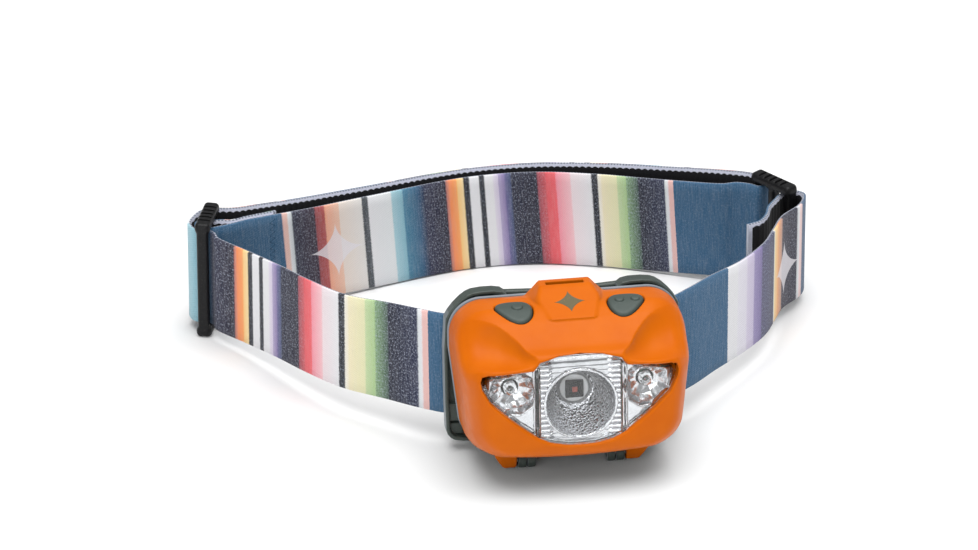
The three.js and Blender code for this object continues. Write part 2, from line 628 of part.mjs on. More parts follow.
add(head, "front_housing", frontHousing(), ORANGE);
add(head, "lens", lens(), CLEAR);
const mainDepth = -REFLECTOR_RIM_Y + BOARD_Y - 1.3;
add(head, "main_reflector",
  reflectorCup(0, BEAM_Z, REFLECTOR_RIM_Y, mainDepth, REFLECTOR_RADIUS, 2.9, 24), MIRROR);
add(head, "main_led", mainLed(), BLACK_PLASTIC);
add(head, "main_led_die", ledDie(), EMITTER);
for (const [name, side] of [["left", -1], ["right", 1]]) {
  const x = side * SIDE_LIGHT_X;
  add(head, `side_reflector_${name}`, reflectorCup(x, SIDE_LIGHT_Z, -20.6, 3.4, 3.9, 2.2, 16), MIRROR);
  add(head, side < 0 ? "white_led" : "red_led", sideLed(x), CLEAR);
  add(head, `board_screw_${name}`, boardScrew(side), STEEL);
  add(head, `push_switch_${name}`, pushSwitch(side), BLACK_PLASTIC);
  add(head, `switch_plunger_${name}`, switchPlunger(side), BLACK_PLASTIC);
  add(head, `button_${name}`, button(side), BUTTON_RUBBER);
  const alone = side > 0 ? -1 : 1;
  const pair = side > 0 ? [0, 1] : [-1, 0];
  add(head, `terminal_plate_${name}`, contactPlate(side, alone, alone), STEEL);
  add(head, `bridge_plate_${name}`, contactPlate(side, ...pair), STEEL);
  add(head, `hinge_pin_${name}`, hingePin(side), STEEL);
}
add(head, "circuit_board", circuitBoard(), BOARD_GREEN);
add(head, "battery_tray", batteryTray(), BLACK_PLASTIC);
for (const [name, row] of [["lower", -1], ["middle", 0], ["upper", 1]]) {
  add(head, `battery_${name}`, cell(row), CELL_WRAP);
  add(head, `contact_spring_${name}`, contactSpring(row), STEEL);
}
add(head, "gasket", gasket(), RING_GREY);
add(head, "rear_cover", rearCover(), DARK_PLASTIC);
add(head, "bracket", bracket(), DARK_PLASTIC);

const headlamp = new THREE.Group();
headlamp.position.set(-PLAN_CENTRE.x, -PLAN_CENTRE.y, 0);
headlamp.add(head);
add(headlamp, "strap", strap(), WEBBING);
add(headlamp, "slider_left", slider(LEFT_SLIDER), BLACK_PLASTIC);
add(headlamp, "slider_right", slider(RIGHT_SLIDER), BLACK_PLASTIC);

export default headlamp;
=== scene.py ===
"""Headlamp on a striped elastic headband: the looks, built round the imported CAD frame."""

import json
import math

import bpy
import numpy as np
from mathutils import Matrix, Vector


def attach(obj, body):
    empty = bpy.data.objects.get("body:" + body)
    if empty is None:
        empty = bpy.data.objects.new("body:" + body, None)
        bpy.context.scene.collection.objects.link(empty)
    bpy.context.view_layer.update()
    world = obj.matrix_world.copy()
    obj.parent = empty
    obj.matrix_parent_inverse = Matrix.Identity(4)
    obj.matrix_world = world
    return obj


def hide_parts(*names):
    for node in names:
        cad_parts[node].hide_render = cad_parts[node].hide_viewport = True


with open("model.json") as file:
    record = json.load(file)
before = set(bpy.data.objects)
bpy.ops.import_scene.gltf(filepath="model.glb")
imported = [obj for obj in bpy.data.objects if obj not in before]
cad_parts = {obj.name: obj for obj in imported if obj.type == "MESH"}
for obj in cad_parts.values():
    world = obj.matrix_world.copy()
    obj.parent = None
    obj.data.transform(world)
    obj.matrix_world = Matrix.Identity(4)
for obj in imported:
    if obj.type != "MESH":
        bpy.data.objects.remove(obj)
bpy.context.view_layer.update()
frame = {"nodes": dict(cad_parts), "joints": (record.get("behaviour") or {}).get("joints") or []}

MM = 0.001
BAND_BODY, COVER_BODY, LAMP_BODY = "headband_and_bracket", "cover", "lamp"
KEY_BODIES = {-1: "left_key", 1: "right_key"}
SIDE_NAMES = {-1: "left", 1: "right"}

# ------------------------------------------------------------------ the head's own frame
# x across, y back from the joint of the front housing, z up, in millimetres. The head is pitched
# up onto its hinge feet, so its frame is worked out from the CAD joints.

joints = {joint["name"]: joint for joint in frame["joints"]}
key_axis = Vector(joints["left_button_press"]["axis"])
HEAD_PITCH = math.atan2(-key_axis.y, -key_axis.z)
HINGE_Y, HINGE_Z = -8.0, -20.4
head_turn = Matrix.Rotation(-HEAD_PITCH, 4, "X")
hinge_place = Vector(joints["lamp_tilt"]["pos_m"]) / MM
head_place = hinge_place - head_turn @ Vector((0, HINGE_Y, HINGE_Z))
HEAD = Matrix.Scale(MM, 4) @ Matrix.Translation(head_place) @ head_turn
LAMP_X = head_place.x

HEAD_DEPTH = 25.5
JOINT_Y = -0.3
WALL = 1.3
LENS_GAP = 0.08
BEAM_Z = -0.6
REFLECTOR_RADIUS = 8.1
REFLECTOR_RIM = 23.6
SIDE_LIGHT_X, SIDE_LIGHT_Z = 15.7, 2.7
BUTTON_X, BUTTON_Y = 13.1, -10.4
BLOCK_HALF = 10.7
PIN_HOLE = 0.9

STRAP_WIDTH = 25.0
STRAP_HALF_THICKNESS = 0.45


# ------------------------------------------------------------------ distance fields
# A field is negative inside a shape. Fields take x, y and z arrays that broadcast together.

def blend_min(a, b, radius):
    """Two shapes joined, with a fillet."""
    near = np.maximum(radius - np.abs(a - b), 0) / radius
    return np.minimum(a, b) - near * near * radius / 4


def blend_max(a, b, radius):
    """What two shapes share, with rounded edges."""
    return -blend_min(-a, -b, radius)


def box_field(x, y, z, low, high, radius=0.0):
    sides = [np.abs(v - (a + b) / 2) - (b - a) / 2 + radius for v, a, b in zip((x, y, z), low, high)]
    outside = np.sqrt(sum(np.maximum(q, 0) ** 2 for q in sides))
    inside = np.minimum(np.maximum(np.maximum(sides[0], sides[1]), sides[2]), 0)
    return outside + inside - radius


def slab(v, low, high):
    """Between two levels."""
    return np.abs(v - (low + high) / 2) - (high - low) / 2


def polygon_field(points, a, b):
    """Distance to a closed polygon in the plane, negative inside."""
    best = np.full(np.broadcast(a, b).shape, 1e9)
    inside = np.zeros(best.shape, bool)
    for (a0, b0), (a1, b1) in zip(points, points[1:] + points[:1]):
        da, db = a1 - a0, b1 - b0
        t = np.clip(((a - a0) * da + (b - b0) * db) / (da * da + db * db), 0, 1)
        best = np.minimum(best, (a - a0 - t * da) ** 2 + (b - b0 - t * db) ** 2)
        if db:
            crosses = ((b0 > b) != (b1 > b)) & (a < a0 + (b - b0) * da / db)
            inside ^= crosses
    return np.where(inside, -1, 1) * np.sqrt(best)


def smooth_table(places, values):
    """A smooth curve through a table, without overshoot."""
    p, v = np.array(places, float), np.array(values, float)
    steps, slopes = np.diff(p), np.diff(v) / np.diff(p)
    bends = np.zeros(len(p))
    same = slopes[:-1] * slopes[1:] > 0
    pair = np.where(same, slopes[:-1] * slopes[1:], 0)
    bends[1:-1] = np.where(same, 2 * pair / np.where(same, slopes[:-1] + slopes[1:], 1), 0)
    bends[0], bends[-1] = slopes[0], slopes[-1]

    def curve(at):
        at = np.clip(at, p[0], p[-1])
        i = np.clip(np.searchsorted(p, at, side="right") - 1, 0, len(steps) - 1)
        t = (at - p[i]) / steps[i]
        rise = v[i] * (1 + 2 * t) * (1 - t) ** 2 + v[i + 1] * t * t * (3 - 2 * t)
        return rise + steps[i] * (bends[i] * t * (1 - t) ** 2 - bends[i + 1] * t * t * (1 - t))

    return curve


CORNERS = [(i, j, k) for i in (0, 1) for j in (0, 1) for k in (0, 1)]
EDGES = [(a, b) for a in CORNERS for b in CORNERS
         if sum(b) - sum(a) == 1 and all(p <= q for p, q in zip(a, b))]


def net(field, low, high, step):
    """Corner points and quads of the field's zero surface, one point for each cell that it crosses."""
    axes = [np.arange(a - step, b + 2 * step, step) for a, b in zip(low, high)]
    grid = np.meshgrid(*axes, indexing="ij", sparse=True)
    values = np.broadcast_to(field(*grid), [len(a) for a in axes]).astype(float)
    for axis in range(3):
        rim = tuple([0, -1] if k == axis else slice(None) for k in range(3))
        values[rim] = np.maximum(values[rim], 0.1 * step)
    inside = values < 0
    corners = [inside[i:i - 1 or None, j:j - 1 or None, k:k - 1 or None] for i, j, k in CORNERS]
    count = sum(corner.astype(np.int8) for corner in corners)
    cells = np.argwhere((count > 0) & (count < 8))
    total, hits = np.zeros((len(cells), 3)), np.zeros((len(cells), 1))
    for a, b in EDGES:
        va, vb = values[tuple((cells + a).T)], values[tuple((cells + b).T)]
        crossed = (va < 0) != (vb < 0)
        t = np.where(crossed, va / np.where(crossed, va - vb, 1), 0)[:, None]
        total += crossed[:, None] * (np.array(a) + t * (np.array(b) - np.array(a)))
        hits += crossed[:, None]
    points = (cells + total / hits) * step + [a[0] for a in axes]
    number = np.full([len(a) for a in axes], -1)
    number[tuple(cells.T)] = np.arange(len(cells))
    quads = []
    for axis in range(3):
        ahead = np.roll(inside, -1, axis)
        edges = np.argwhere(inside != ahead)
        edges = edges[(edges > 0).all(1) & (edges[:, axis] < len(axes[axis]) - 1)]
        u, v = np.eye(3, dtype=int)[(axis + 1) % 3], np.eye(3, dtype=int)[(axis + 2) % 3]
        around = [number[tuple((edges - shift).T)] for shift in (u + v, v, 0 * u, u)]
        ring = np.stack(around, 1)
        flip = ~inside[tuple(edges.T)]
        ring[flip] = ring[flip][:, ::-1]
        quads.append(ring)
    return points, np.concatenate(quads)


def gradient(field, points, reach=0.02):
    out = np.empty_like(points)
    for axis in range(3):
        shift = np.zeros(3)
        shift[axis] = reach
        ahead, behind = (points + shift).T, (points - shift).T
        out[:, axis] = (field(*ahead) - field(*behind)) / (2 * reach)
    return out


def settle(field, points, quads, step):
    """Evens out the net and puts its points exactly on the surface."""
    pairs = np.concatenate([quads[:, [i, (i + 1) % 4]] for i in range(4)])
    degree = sum(np.bincount(pairs[:, end], minlength=len(points)) for end in (0, 1))
    for even in (0.5, 0.5, 0.3, 0, 0):
        if even:
            pull = np.zeros_like(points)
            for axis in range(3):
                ends = points[:, axis]
                pull[:, axis] = np.bincount(pairs[:, 0], ends[pairs[:, 1]], len(points))
                pull[:, axis] += np.bincount(pairs[:, 1], ends[pairs[:, 0]], len(points))
            points = points + even * (pull / degree[:, None] - points)
        slope = gradient(field, points)
        steep = np.maximum((slope ** 2).sum(1), 0.05)
        move = -(field(*points.T) / steep)[:, None] * slope
        size = np.maximum(np.linalg.norm(move, axis=1, keepdims=True), 1e-9)
        points = points + move * np.minimum(1, 0.6 * step / size)
    return points


def mesh_piece(name, points, faces, place, body, material, normals=None):
    """A piece from points in millimetres and faces, carried into the row frame by a matrix."""
    mesh = bpy.data.meshes.new(name)
    turned = np.c_[points, np.ones(len(points))] @ np.array(place).T
    mesh.from_pydata(turned[:, :3].tolist(), [], [list(map(int, f)) for f in faces])
    mesh.update()
    mesh.shade_smooth()
    if normals is not None:
        turn = np.array(place.to_3x3().normalized())
        mesh.normals_split_custom_set_from_vertices((normals @ turn.T).tolist())
    piece = bpy.data.objects.new(name, mesh)
    bpy.context.scene.collection.objects.link(piece)
    mesh.materials.append(material)
    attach(piece, body)
    return piece


def moulded(name, field, low, high, step, place, body, material):
    """A piece whose surface is the field's zero, with the field's own normals."""
    points, quads = net(field, low, high, step)
    points = settle(field, points, quads, step)
    normals = gradient(field, points)
    normals /= np.maximum(np.linalg.norm(normals, axis=1, keepdims=True), 1e-9)
    return mesh_piece(name, points, quads, place, body, material, normals)


# ------------------------------------------------------------------ materials

def srgb(red, green, blue):
    """A screen colour, 0 to 255, as the linear colour that nodes take."""
    def linear(c):
        c /= 255
        return c / 12.92 if c <= 0.04045 else ((c + 0.055) / 1.055) ** 2.4
    return linear(red), linear(green), linear(blue), 1.0


class Graph:
    """A material's node tree, with short calls for the nodes used here."""

    def __init__(self, name):
        self.material = bpy.data.materials.new(name)
        self.material.use_nodes = True
        self.tree = self.material.node_tree
        self.shader = self.tree.nodes["Principled BSDF"]
        metres = self.node("ShaderNodeTexCoord").outputs["Object"]
        self.place = self.vector("SCALE", metres, scale=1 / MM)

    def put(self, socket, value):
        if isinstance(value, bpy.types.NodeSocket):
            self.tree.links.new(value, socket)
        else:
            socket.default_value = value

    def node(self, kind, inputs=None, **settings):
        made = self.tree.nodes.new(kind)
        for key, value in settings.items():
            setattr(made, key, value)
        for key, value in (inputs or {}).items():
            self.put(made.inputs[key], value)
        return made

    def set(self, **inputs):
        for key, value in inputs.items():
            self.put(self.shader.inputs[key.replace("_", " ")], value)

    def math(self, operation, a, b=0.0, c=0.0, clamp=False):
        made = self.node("ShaderNodeMath", {0: a, 1: b, 2: c}, operation=operation, use_clamp=clamp)
        return made.outputs[0]

    def choose(self, second, a, b):
        """The value a where second is 0, and b where it is 1."""
        kept = self.math("MULTIPLY", a, self.math("SUBTRACT", 1.0, second))
        return self.math("ADD", kept, self.math("MULTIPLY", b, second))

    def vector(self, operation, a, b=(0, 0, 0), scale=1.0):
        made = self.node("ShaderNodeVectorMath", {0: a, 1: b, 3: scale}, operation=operation)
        return made.outputs[0]

    def noise(self, scale, detail=2.0, roughness=0.5, at=None):
        inputs = {"Vector": at or self.place, "Scale": scale, "Detail": detail, "Roughness": roughness}
        return self.node("ShaderNodeTexNoise", inputs).outputs[0]

    def remap(self, value, low, high, to_low=0.0, to_high=1.0):
        inputs = {"Value": value, "From Min": low, "From Max": high, "To Min": to_low, "To Max": to_high}
        return self.node("ShaderNodeMapRange", inputs).outputs[0]

    def mix(self, share, a, b):
        """Mixes two colours, each a socket or red, green and blue from 0 to 255."""
        made = self.node("ShaderNodeMix", data_type="RGBA")
        self.put(made.inputs[0], share)
        for number, colour in ((6, a), (7, b)):
            self.put(made.inputs[number], srgb(*colour) if isinstance(colour, tuple) else colour)
        return made.outputs[2]

    def bump(self, height, depth_mm, strength=1.0, below=None):
        inputs = {"Height": height, "Distance": depth_mm * MM, "Strength": strength}
        if below is not None:
            inputs["Normal"] = below
        return self.node("ShaderNodeBump", inputs).outputs[0]

    def split(self, vector):
        return self.node("ShaderNodeSeparateXYZ", {0: vector}).outputs


def plastic(name, colour, shade, roughness, grain_mm, grain_depth_mm, speck):
    """Moulded plastic: a slight change of shade, a fine grain, and duller and shinier patches."""
    g = Graph(name)
    cloud = g.noise(0.12, 3.0)
    fine = g.noise(1 / grain_mm, 2.0, 0.6)
    colour_out = g.mix(g.remap(cloud, 0.35, 0.65), colour, shade)
    dusty = g.mix(g.remap(fine, 0.55, 0.8, 0, speck), colour_out, (225, 222, 215))
    rough = g.math("ADD", g.remap(g.noise(0.5, 4.0), 0.3, 0.7, roughness - 0.05, roughness + 0.05),
                   g.remap(fine, 0.3, 0.7, -0.02, 0.02))
    g.set(Base_Color=dusty, Roughness=rough, Normal=g.bump(fine, grain_depth_mm))
    return g


def quiet_bounce(g, shade=(96, 92, 88)):
    """Keeps its colour off the pale floor: a diffuse ray from there meets a grey instead."""
    colour = g.shader.inputs["Base Color"].links[0].from_socket
    bounced = g.node("ShaderNodeLightPath").outputs["Is Diffuse Ray"]
    g.set(Base_Color=g.mix(bounced, colour, shade))
    return g.material


def orange_shell():
    g = plastic("orange_shell", (208, 101, 1), (203, 96, 0), 0.4, 0.28, 0.006, 0.004)
    g.set(Specular_IOR_Level=0.12)
    return quiet_bounce(g)


def dark_plastic():
    """Dark green plastic, with a painted highlight: the faces that look left or right are painted paler."""
    g = plastic("dark_green_plastic", (66, 75, 70), (56, 66, 61), 0.46, 0.22, 0.02, 0.08)
    colour = g.shader.inputs["Base Color"].links[0].from_socket
    # Painted highlight: faces that look left or right are mixed towards a pale grey.
    flank = g.math("ABSOLUTE", g.split(g.node("ShaderNodeTexCoord").outputs["Normal"])[0])
    g.set(Base_Color=g.mix(g.remap(flank, 0.75, 0.95, 0, 0.75), colour, (150, 157, 163)))
    return g.material


def black_plastic():
    g = plastic("black_plastic", (19, 19, 21), (15, 15, 17), 0.4, 0.3, 0.012, 0.03)
    g.set(Specular_IOR_Level=0.22)
    return g.material


def tray_plastic():
    return plastic("tray_plastic", (40, 41, 43), (34, 35, 37), 0.5, 0.25, 0.015, 0.06).material


def seal_rubber():
    return plastic("grey_seal", (136, 141, 149), (126, 131, 139), 0.55, 0.3, 0.012, 0.04).material


def button_rubber():
    g = plastic("button_rubber", (64, 75, 70), (58, 69, 64), 0.55, 0.16, 0.01, 0.03)
    g.set(Sheen_Weight=0.05, Sheen_Roughness=0.4)
    return g.material


def clear_plastic(name, tint=(250, 252, 253), roughness=0.03):
    """Clear polycarbonate with faint flow marks. Light passes to what is behind it."""
    g = Graph(name)
    flow = g.noise(0.35, 3.0)
    g.set(Base_Color=srgb(*tint), Roughness=g.remap(flow, 0.3, 0.7, roughness * 0.6, roughness * 1.4),
          IOR=1.5, Transmission_Weight=1.0, Normal=g.bump(flow, 0.02))
    out = g.tree.nodes["Material Output"]
    ray = g.node("ShaderNodeLightPath").outputs
    through = g.node("ShaderNodeBsdfTransparent", {"Color": (0.93, 0.94, 0.95, 1)}).outputs[0]
    share = g.math("MAXIMUM", ray["Is Shadow Ray"], ray["Is Diffuse Ray"])
    both = g.node("ShaderNodeMixShader", {0: share, 1: g.shader.outputs[0], 2: through}).outputs[0]
    g.tree.links.new(both, out.inputs["Surface"])
    return g.material


def bright_metal(name, peel_mm, peel_depth_mm):
    """Metallised plastic with a dimpled, orange-peel skin."""
    g = Graph(name)
    roughness = 0.08
    peel = g.node("ShaderNodeTexVoronoi", {"Vector": g.place, "Scale": 1 / peel_mm, "Smoothness": 0.6},
                  feature="SMOOTH_F1").outputs["Distance"]
    fine = g.noise(3.0, 2.0)
    tone = g.mix(g.remap(g.noise(0.4, 2.0), 0.3, 0.7), (228, 228, 230), (214, 214, 216))
    normal = g.bump(fine, 0.01, below=g.bump(peel, peel_depth_mm))
    g.set(Base_Color=tone, Metallic=1.0, Roughness=g.remap(fine, 0.3, 0.7, roughness, roughness + 0.05),
          Normal=normal)
    return g.material


def steel():
    """Drawn steel with lengthwise scratches."""
    g = Graph("steel")
    streak = g.noise(4.0, 4.0, 0.6, at=g.vector("MULTIPLY", g.place, (0.15, 1, 1)))
    g.set(Base_Color=g.mix(streak, (190, 190, 192), (150, 151, 154)), Metallic=1.0,
          Roughness=g.remap(streak, 0.3, 0.7, 0.22, 0.38), Normal=g.bump(streak, 0.01))
    return g.material


def board_green():
    """Solder mask with a grid of paler tracks."""
    g = Graph("green_board")
    tracks = g.node("ShaderNodeTexBrick", {"Vector": g.vector("MULTIPLY", g.place, (1, 0, 1)), "Scale": 0.35,
                    "Mortar Size": 0.03, "Color1": srgb(20, 92, 58), "Color2": srgb(18, 84, 52),
                    "Mortar": srgb(52, 132, 84)}).outputs[0]
    height = g.node("ShaderNodeRGBToBW", {0: tracks}).outputs[0]
    g.set(Base_Color=tracks, Roughness=g.remap(g.noise(1.0), 0.3, 0.7, 0.28, 0.4),
          Normal=g.bump(height, 0.05))
    return g.material


def cell_sleeve():
    """A shrink sleeve, pale over its right part, and bare steel on the two ends."""
    g = Graph("cell_sleeve")
    along = g.split(g.place)[0]
    normal = g.node("ShaderNodeTexCoord").outputs["Normal"]
    end = g.math("GREATER_THAN", g.math("ABSOLUTE", g.split(normal)[0]), 0.6)
    band_start = LAMP_X + 9
    band = g.math("GREATER_THAN", along, band_start)
    wrap = g.mix(band, (38, 62, 92), (198, 200, 203))
    scuff = g.noise(0.9, 4.0, 0.6)
    g.set(Base_Color=g.mix(end, g.mix(g.remap(scuff, 0.6, 0.8, 0, 0.25), wrap, (120, 125, 130)),
                           (190, 190, 192)),
          Metallic=end, Roughness=g.remap(scuff, 0.3, 0.7, 0.22, 0.36), Normal=g.bump(scuff, 0.02))
    return g.material


def led_die():
    g = Graph("led_die")
    cloud = g.noise(2.5, 3.0)
    g.set(Base_Color=g.mix(cloud, (190, 72, 38), (150, 48, 26)), Roughness=0.35,
          Normal=g.bump(cloud, 0.02), Coat_Weight=0.6)
    return g.material


def ceramic():
    g = Graph("led_ceramic")
    cloud = g.noise(1.5, 3.0)
    g.set(Base_Color=g.mix(cloud, (243, 242, 240), (228, 227, 226)), Roughness=0.45,
          Normal=g.bump(cloud, 0.02))
    return g.material


def mark_ink():
    """Printed ink with the plastic's grain just showing through."""
    g = Graph("mark_ink")
    thin = g.noise(2.2, 4.0, 0.65)
    g.set(Base_Color=g.mix(g.remap(thin, 0.62, 0.78, 0, 0.6), (92, 84, 52), (226, 122, 40)),
          Roughness=0.45, Normal=g.bump(thin, 0.02))
    return g.material


# ------------------------------------------------------------------ the print on the webbing
# Bands along the webbing: width in millimetres, colour at the band's start and end, and how
# strongly pale yarns fleck it.

DENIM = (58, 100, 134)
WHITE = (233, 233, 236)
BLACK = (44, 46, 52)

SERAPE = [
    (1.4, (241, 196, 190), (238, 192, 186), 0.1),
    (1.1, WHITE, (222, 226, 230), 0.0),
    (7.6, (56, 60, 84), (44, 46, 58), 0.7),
    (3.4, (78, 98, 88), (140, 172, 132), 0.7),
    (2.6, (176, 206, 150), (198, 218, 168), 0.15),
    (4.5, (232, 230, 186), (242, 232, 196), 0.05),
    (1.0, (244, 236, 214), (240, 236, 226), 0.0),
    (1.7, BLACK, BLACK, 0.5),
    (5.4, WHITE, (240, 224, 228), 0.0),
    (3.8, (248, 200, 206), (246, 154, 168), 0.05),
    (2.6, (243, 108, 114), (230, 98, 104), 0.1),
    (2.2, (214, 96, 102), (168, 86, 96), 0.35),
    (6.8, (44, 42, 56), (46, 48, 66), 0.6),
    (1.6, (84, 94, 128), (110, 108, 152), 0.25),
    (1.7, (144, 130, 176), (180, 168, 202), 0.15),
    (1.3, (214, 204, 226), (226, 220, 232), 0.0),
    (2.3, WHITE, WHITE, 0.0),
    (1.4, BLACK, BLACK, 0.4),
    (2.6, WHITE, WHITE, 0.0),
    (1.6, BLACK, BLACK, 0.4),
    (1.8, (250, 222, 168), (252, 206, 136), 0.0),
    (2.2, (252, 168, 100), (246, 146, 96), 0.0),
    (0.8, (226, 140, 112), (196, 124, 112), 0.2),
    (5.9, (44, 40, 54), (52, 54, 78), 0.65),
    (1.6, (52, 58, 82), (60, 92, 124), 0.4),
    (4.2, (62, 98, 130), (78, 134, 162), 0.2),
    (3.0, (138, 186, 202), (172, 208, 218), 0.1),
    (6.2, (228, 232, 234), WHITE, 0.0),
    (1.6, (92, 96, 100), (72, 76, 80), 0.3),
    (6.2, (232, 229, 226), (236, 222, 212), 0.0),
    (3.9, (241, 200, 178), (240, 170, 142), 0.1),
    (2.6, (182, 88, 86), (158, 76, 80), 0.2),
    (6.2, (60, 46, 60), (52, 54, 72), 0.5),
    (1.2, (210, 216, 220), WHITE, 0.0),
    (1.4, (238, 200, 188), (240, 196, 186), 0.1),
    (29.6, DENIM, DENIM, 0.22),
]
REPEAT = sum(band[0] for band in SERAPE)

TAIL_PRINT = [
    (14.0, DENIM, DENIM, 0.22),
    (17.4, (86, 112, 136), (76, 100, 128), 0.3),
    (1.6, (236, 206, 204), (240, 214, 210), 0.0),
    (1.3, WHITE, (206, 208, 214), 0.0),
    (8.2, (52, 50, 64), (68, 64, 76), 0.5),
    (4.2, (196, 156, 140), (244, 172, 118), 0.2),
    (3.6, (248, 190, 128), (250, 222, 166), 0.0),
    (0.6, WHITE, WHITE, 0.0),
    (9.6, (74, 74, 96), (92, 92, 122), 0.45),
    (4.2, (130, 118, 168), (160, 148, 190), 0.2),
    (3.5, (204, 194, 220), (214, 206, 226), 0.05),
    (4.2, (226, 222, 234), (230, 228, 236), 0.0),
    (4.2, WHITE, WHITE, 0.0),
]
TAIL_LENGTH = sum(band[0] for band in TAIL_PRINT)
FRONT_START = 155.9
REAR_START = 415.4


def band_colours(g, place, bands):
    """The colour and the fleck at a place. A ramp holds up to 15 bands, so ramps are chained."""
    per_ramp = 15
    softness = 0.12
    colour = fleck = None
    start = 0.0
    for first in range(0, len(bands), per_ramp):
        group = bands[first:first + per_ramp]
        span = sum(band[0] for band in group)
        ramp = g.node("ShaderNodeValToRGB", {"Fac": g.remap(place, start, start + span)})
        stops = ramp.color_ramp.elements
        at = 0.0
        made = []
        for width, low, high, flecks in group:
            made.append(((at + softness) / span, low, flecks))
            made.append(((at + width - softness) / span, high, flecks))
            at += width
        while len(stops) < len(made):
            stops.new(1.0)
        for stop, (position, tone, flecks) in zip(stops, made):
            stop.position = position
            stop.color = (*srgb(*tone)[:3], flecks)
        if colour is None:
            colour, fleck = ramp.outputs["Color"], ramp.outputs["Alpha"]
        else:
            later = g.math("GREATER_THAN", place, start)
            colour = g.mix(later, colour, ramp.outputs["Color"])
            fleck = g.choose(later, fleck, ramp.outputs["Alpha"])
        start += span
    return colour, fleck


MARK_HALF = 7.4
MARK_POWER = 0.6
MARKS = [(-115.2, 11.0), (2 * REPEAT + 91.5, 12.5)]    # place in the print, height


def print_map(g):
    """Place along the print and across the webbing, in millimetres, and both as one vector."""
    along, across = g.split(g.node("ShaderNodeUVMap", uv_map="print").outputs[0])[:2]
    return along, across, g.node("ShaderNodeCombineXYZ", {0: along, 1: across}).outputs[0]


def webbing_weave(g, along, across, yarn=0.62, pick=0.5):
    """Height of a plain weave: yarns over and under each other."""
    wave_a = g.math("SINE", g.math("MULTIPLY", along, 2 * math.pi / yarn))
    wave_b = g.math("SINE", g.math("MULTIPLY", across, 2 * math.pi / pick))
    return g.remap(g.math("MULTIPLY", wave_a, wave_b), -1, 1)


def printed_webbing():
    """The print, with wobbling band edges, pale and dark yarns, painted shade in the weave, and two plain
    four-pointed stars.
    """
    g = Graph("webbing")
    along, across, flat = print_map(g)
    yarns = g.noise(1.0, 3.0, 0.6, at=g.vector("MULTIPLY", flat, (2.6, 2.0, 1)))
    wobble = g.remap(yarns, 0.2, 0.8, -0.16, 0.16)
    place = g.math("ADD", along, wobble)
    before_start = -5.0
    wrapped = g.math("WRAP", g.math("MAXIMUM", place, before_start), REPEAT, 0.0)
    serape, serape_fleck = band_colours(g, wrapped, SERAPE)
    tail, tail_fleck = band_colours(g, g.math("ADD", place, FRONT_START), TAIL_PRINT)
    on_tail = g.math("LESS_THAN", place, TAIL_LENGTH - FRONT_START)
    colour = g.mix(on_tail, serape, tail)
    fleck = g.choose(on_tail, serape_fleck, tail_fleck)
    flecks = g.noise(1.0, 2.5, 0.75, at=g.vector("MULTIPLY", flat, (2.6, 1.9, 1)))
    streaks = g.noise(1.0, 2.0, 0.5, at=g.vector("MULTIPLY", flat, (3.0, 0.2, 1)))
    light = g.math("MULTIPLY", fleck, g.remap(flecks, 0.53, 0.66), clamp=True)
    colour = g.mix(light, colour, (172, 180, 198))
    dark = g.math("MULTIPLY", fleck, g.remap(flecks, 0.48, 0.36, 0, 0.8), clamp=True)
    colour = g.mix(dark, colour, (20, 24, 38))
    colour = g.mix(g.remap(streaks, 0.4, 0.75, 0, 0.1), colour, (214, 216, 222))
    for mark_place, mark_height in MARKS:
        aside = g.math("ABSOLUTE", g.math("SUBTRACT", along, mark_place))
        up = g.math("ABSOLUTE", g.math("SUBTRACT", across, mark_height))
        reach = g.math("ADD", g.math("POWER", aside, MARK_POWER), g.math("POWER", up, MARK_POWER))
        inside = g.math("LESS_THAN", reach, MARK_HALF ** MARK_POWER)
        colour = g.mix(g.math("MULTIPLY", inside, 0.72), colour, (236, 232, 238))
    weave = webbing_weave(g, along, across)
    normal = g.bump(flecks, 0.06, below=g.bump(weave, 0.05, 0.8))
    # Painted shade: the low places of the weave are darkened.
    shaded = g.mix(g.remap(weave, 0, 1, 0.14, 0), colour, (30, 32, 40))
    g.set(Base_Color=shaded, Roughness=0.85, Normal=normal, Sheen_Weight=0.12, Sheen_Roughness=0.5,
          Specular_IOR_Level=0.2)
    return g.material


SCALLOP = 1.7     # pitch of the ribs on the inner face
SELVAGE = 0.8     # width of the pale edge
HEM = 1.1         # length of the pale end


def webbing_back():
    """The black inner face: transverse ribs between pale selvages, with a scalloped edge."""
    g = Graph("webbing_back")
    along, across, flat = print_map(g)
    ribs = g.math("ABSOLUTE", g.math("SINE", g.math("MULTIPLY", along, math.pi / SCALLOP)))
    scallop = g.math("MULTIPLY", ribs, 0.35)
    from_edge = g.math("SUBTRACT", STRAP_WIDTH / 2,
                       g.math("ABSOLUTE", g.math("SUBTRACT", across, STRAP_WIDTH / 2)))
    middle = g.math("GREATER_THAN", g.math("ADD", from_edge, scallop), SELVAGE + 0.3)
    black = g.math("MULTIPLY", middle, g.math("GREATER_THAN", along, HEM - FRONT_START))
    fuzz = g.noise(2.2, 4.0, 0.7, at=flat)
    pale = g.mix(g.remap(fuzz, 0.3, 0.7), (222, 224, 238), (196, 200, 220))
    dark = g.mix(g.remap(fuzz, 0.3, 0.7), (22, 22, 24), (34, 34, 38))
    weave = webbing_weave(g, along, across, yarn=SCALLOP / 2)
    height = g.math("ADD", g.math("MULTIPLY", ribs, 0.7), g.math("MULTIPLY", weave, 0.3))
    g.set(Base_Color=g.mix(black, pale, dark), Roughness=0.9, Sheen_Weight=0.1, Specular_IOR_Level=0.15,
          Normal=g.bump(fuzz, 0.05, below=g.bump(height, 0.14)))
    return g.material


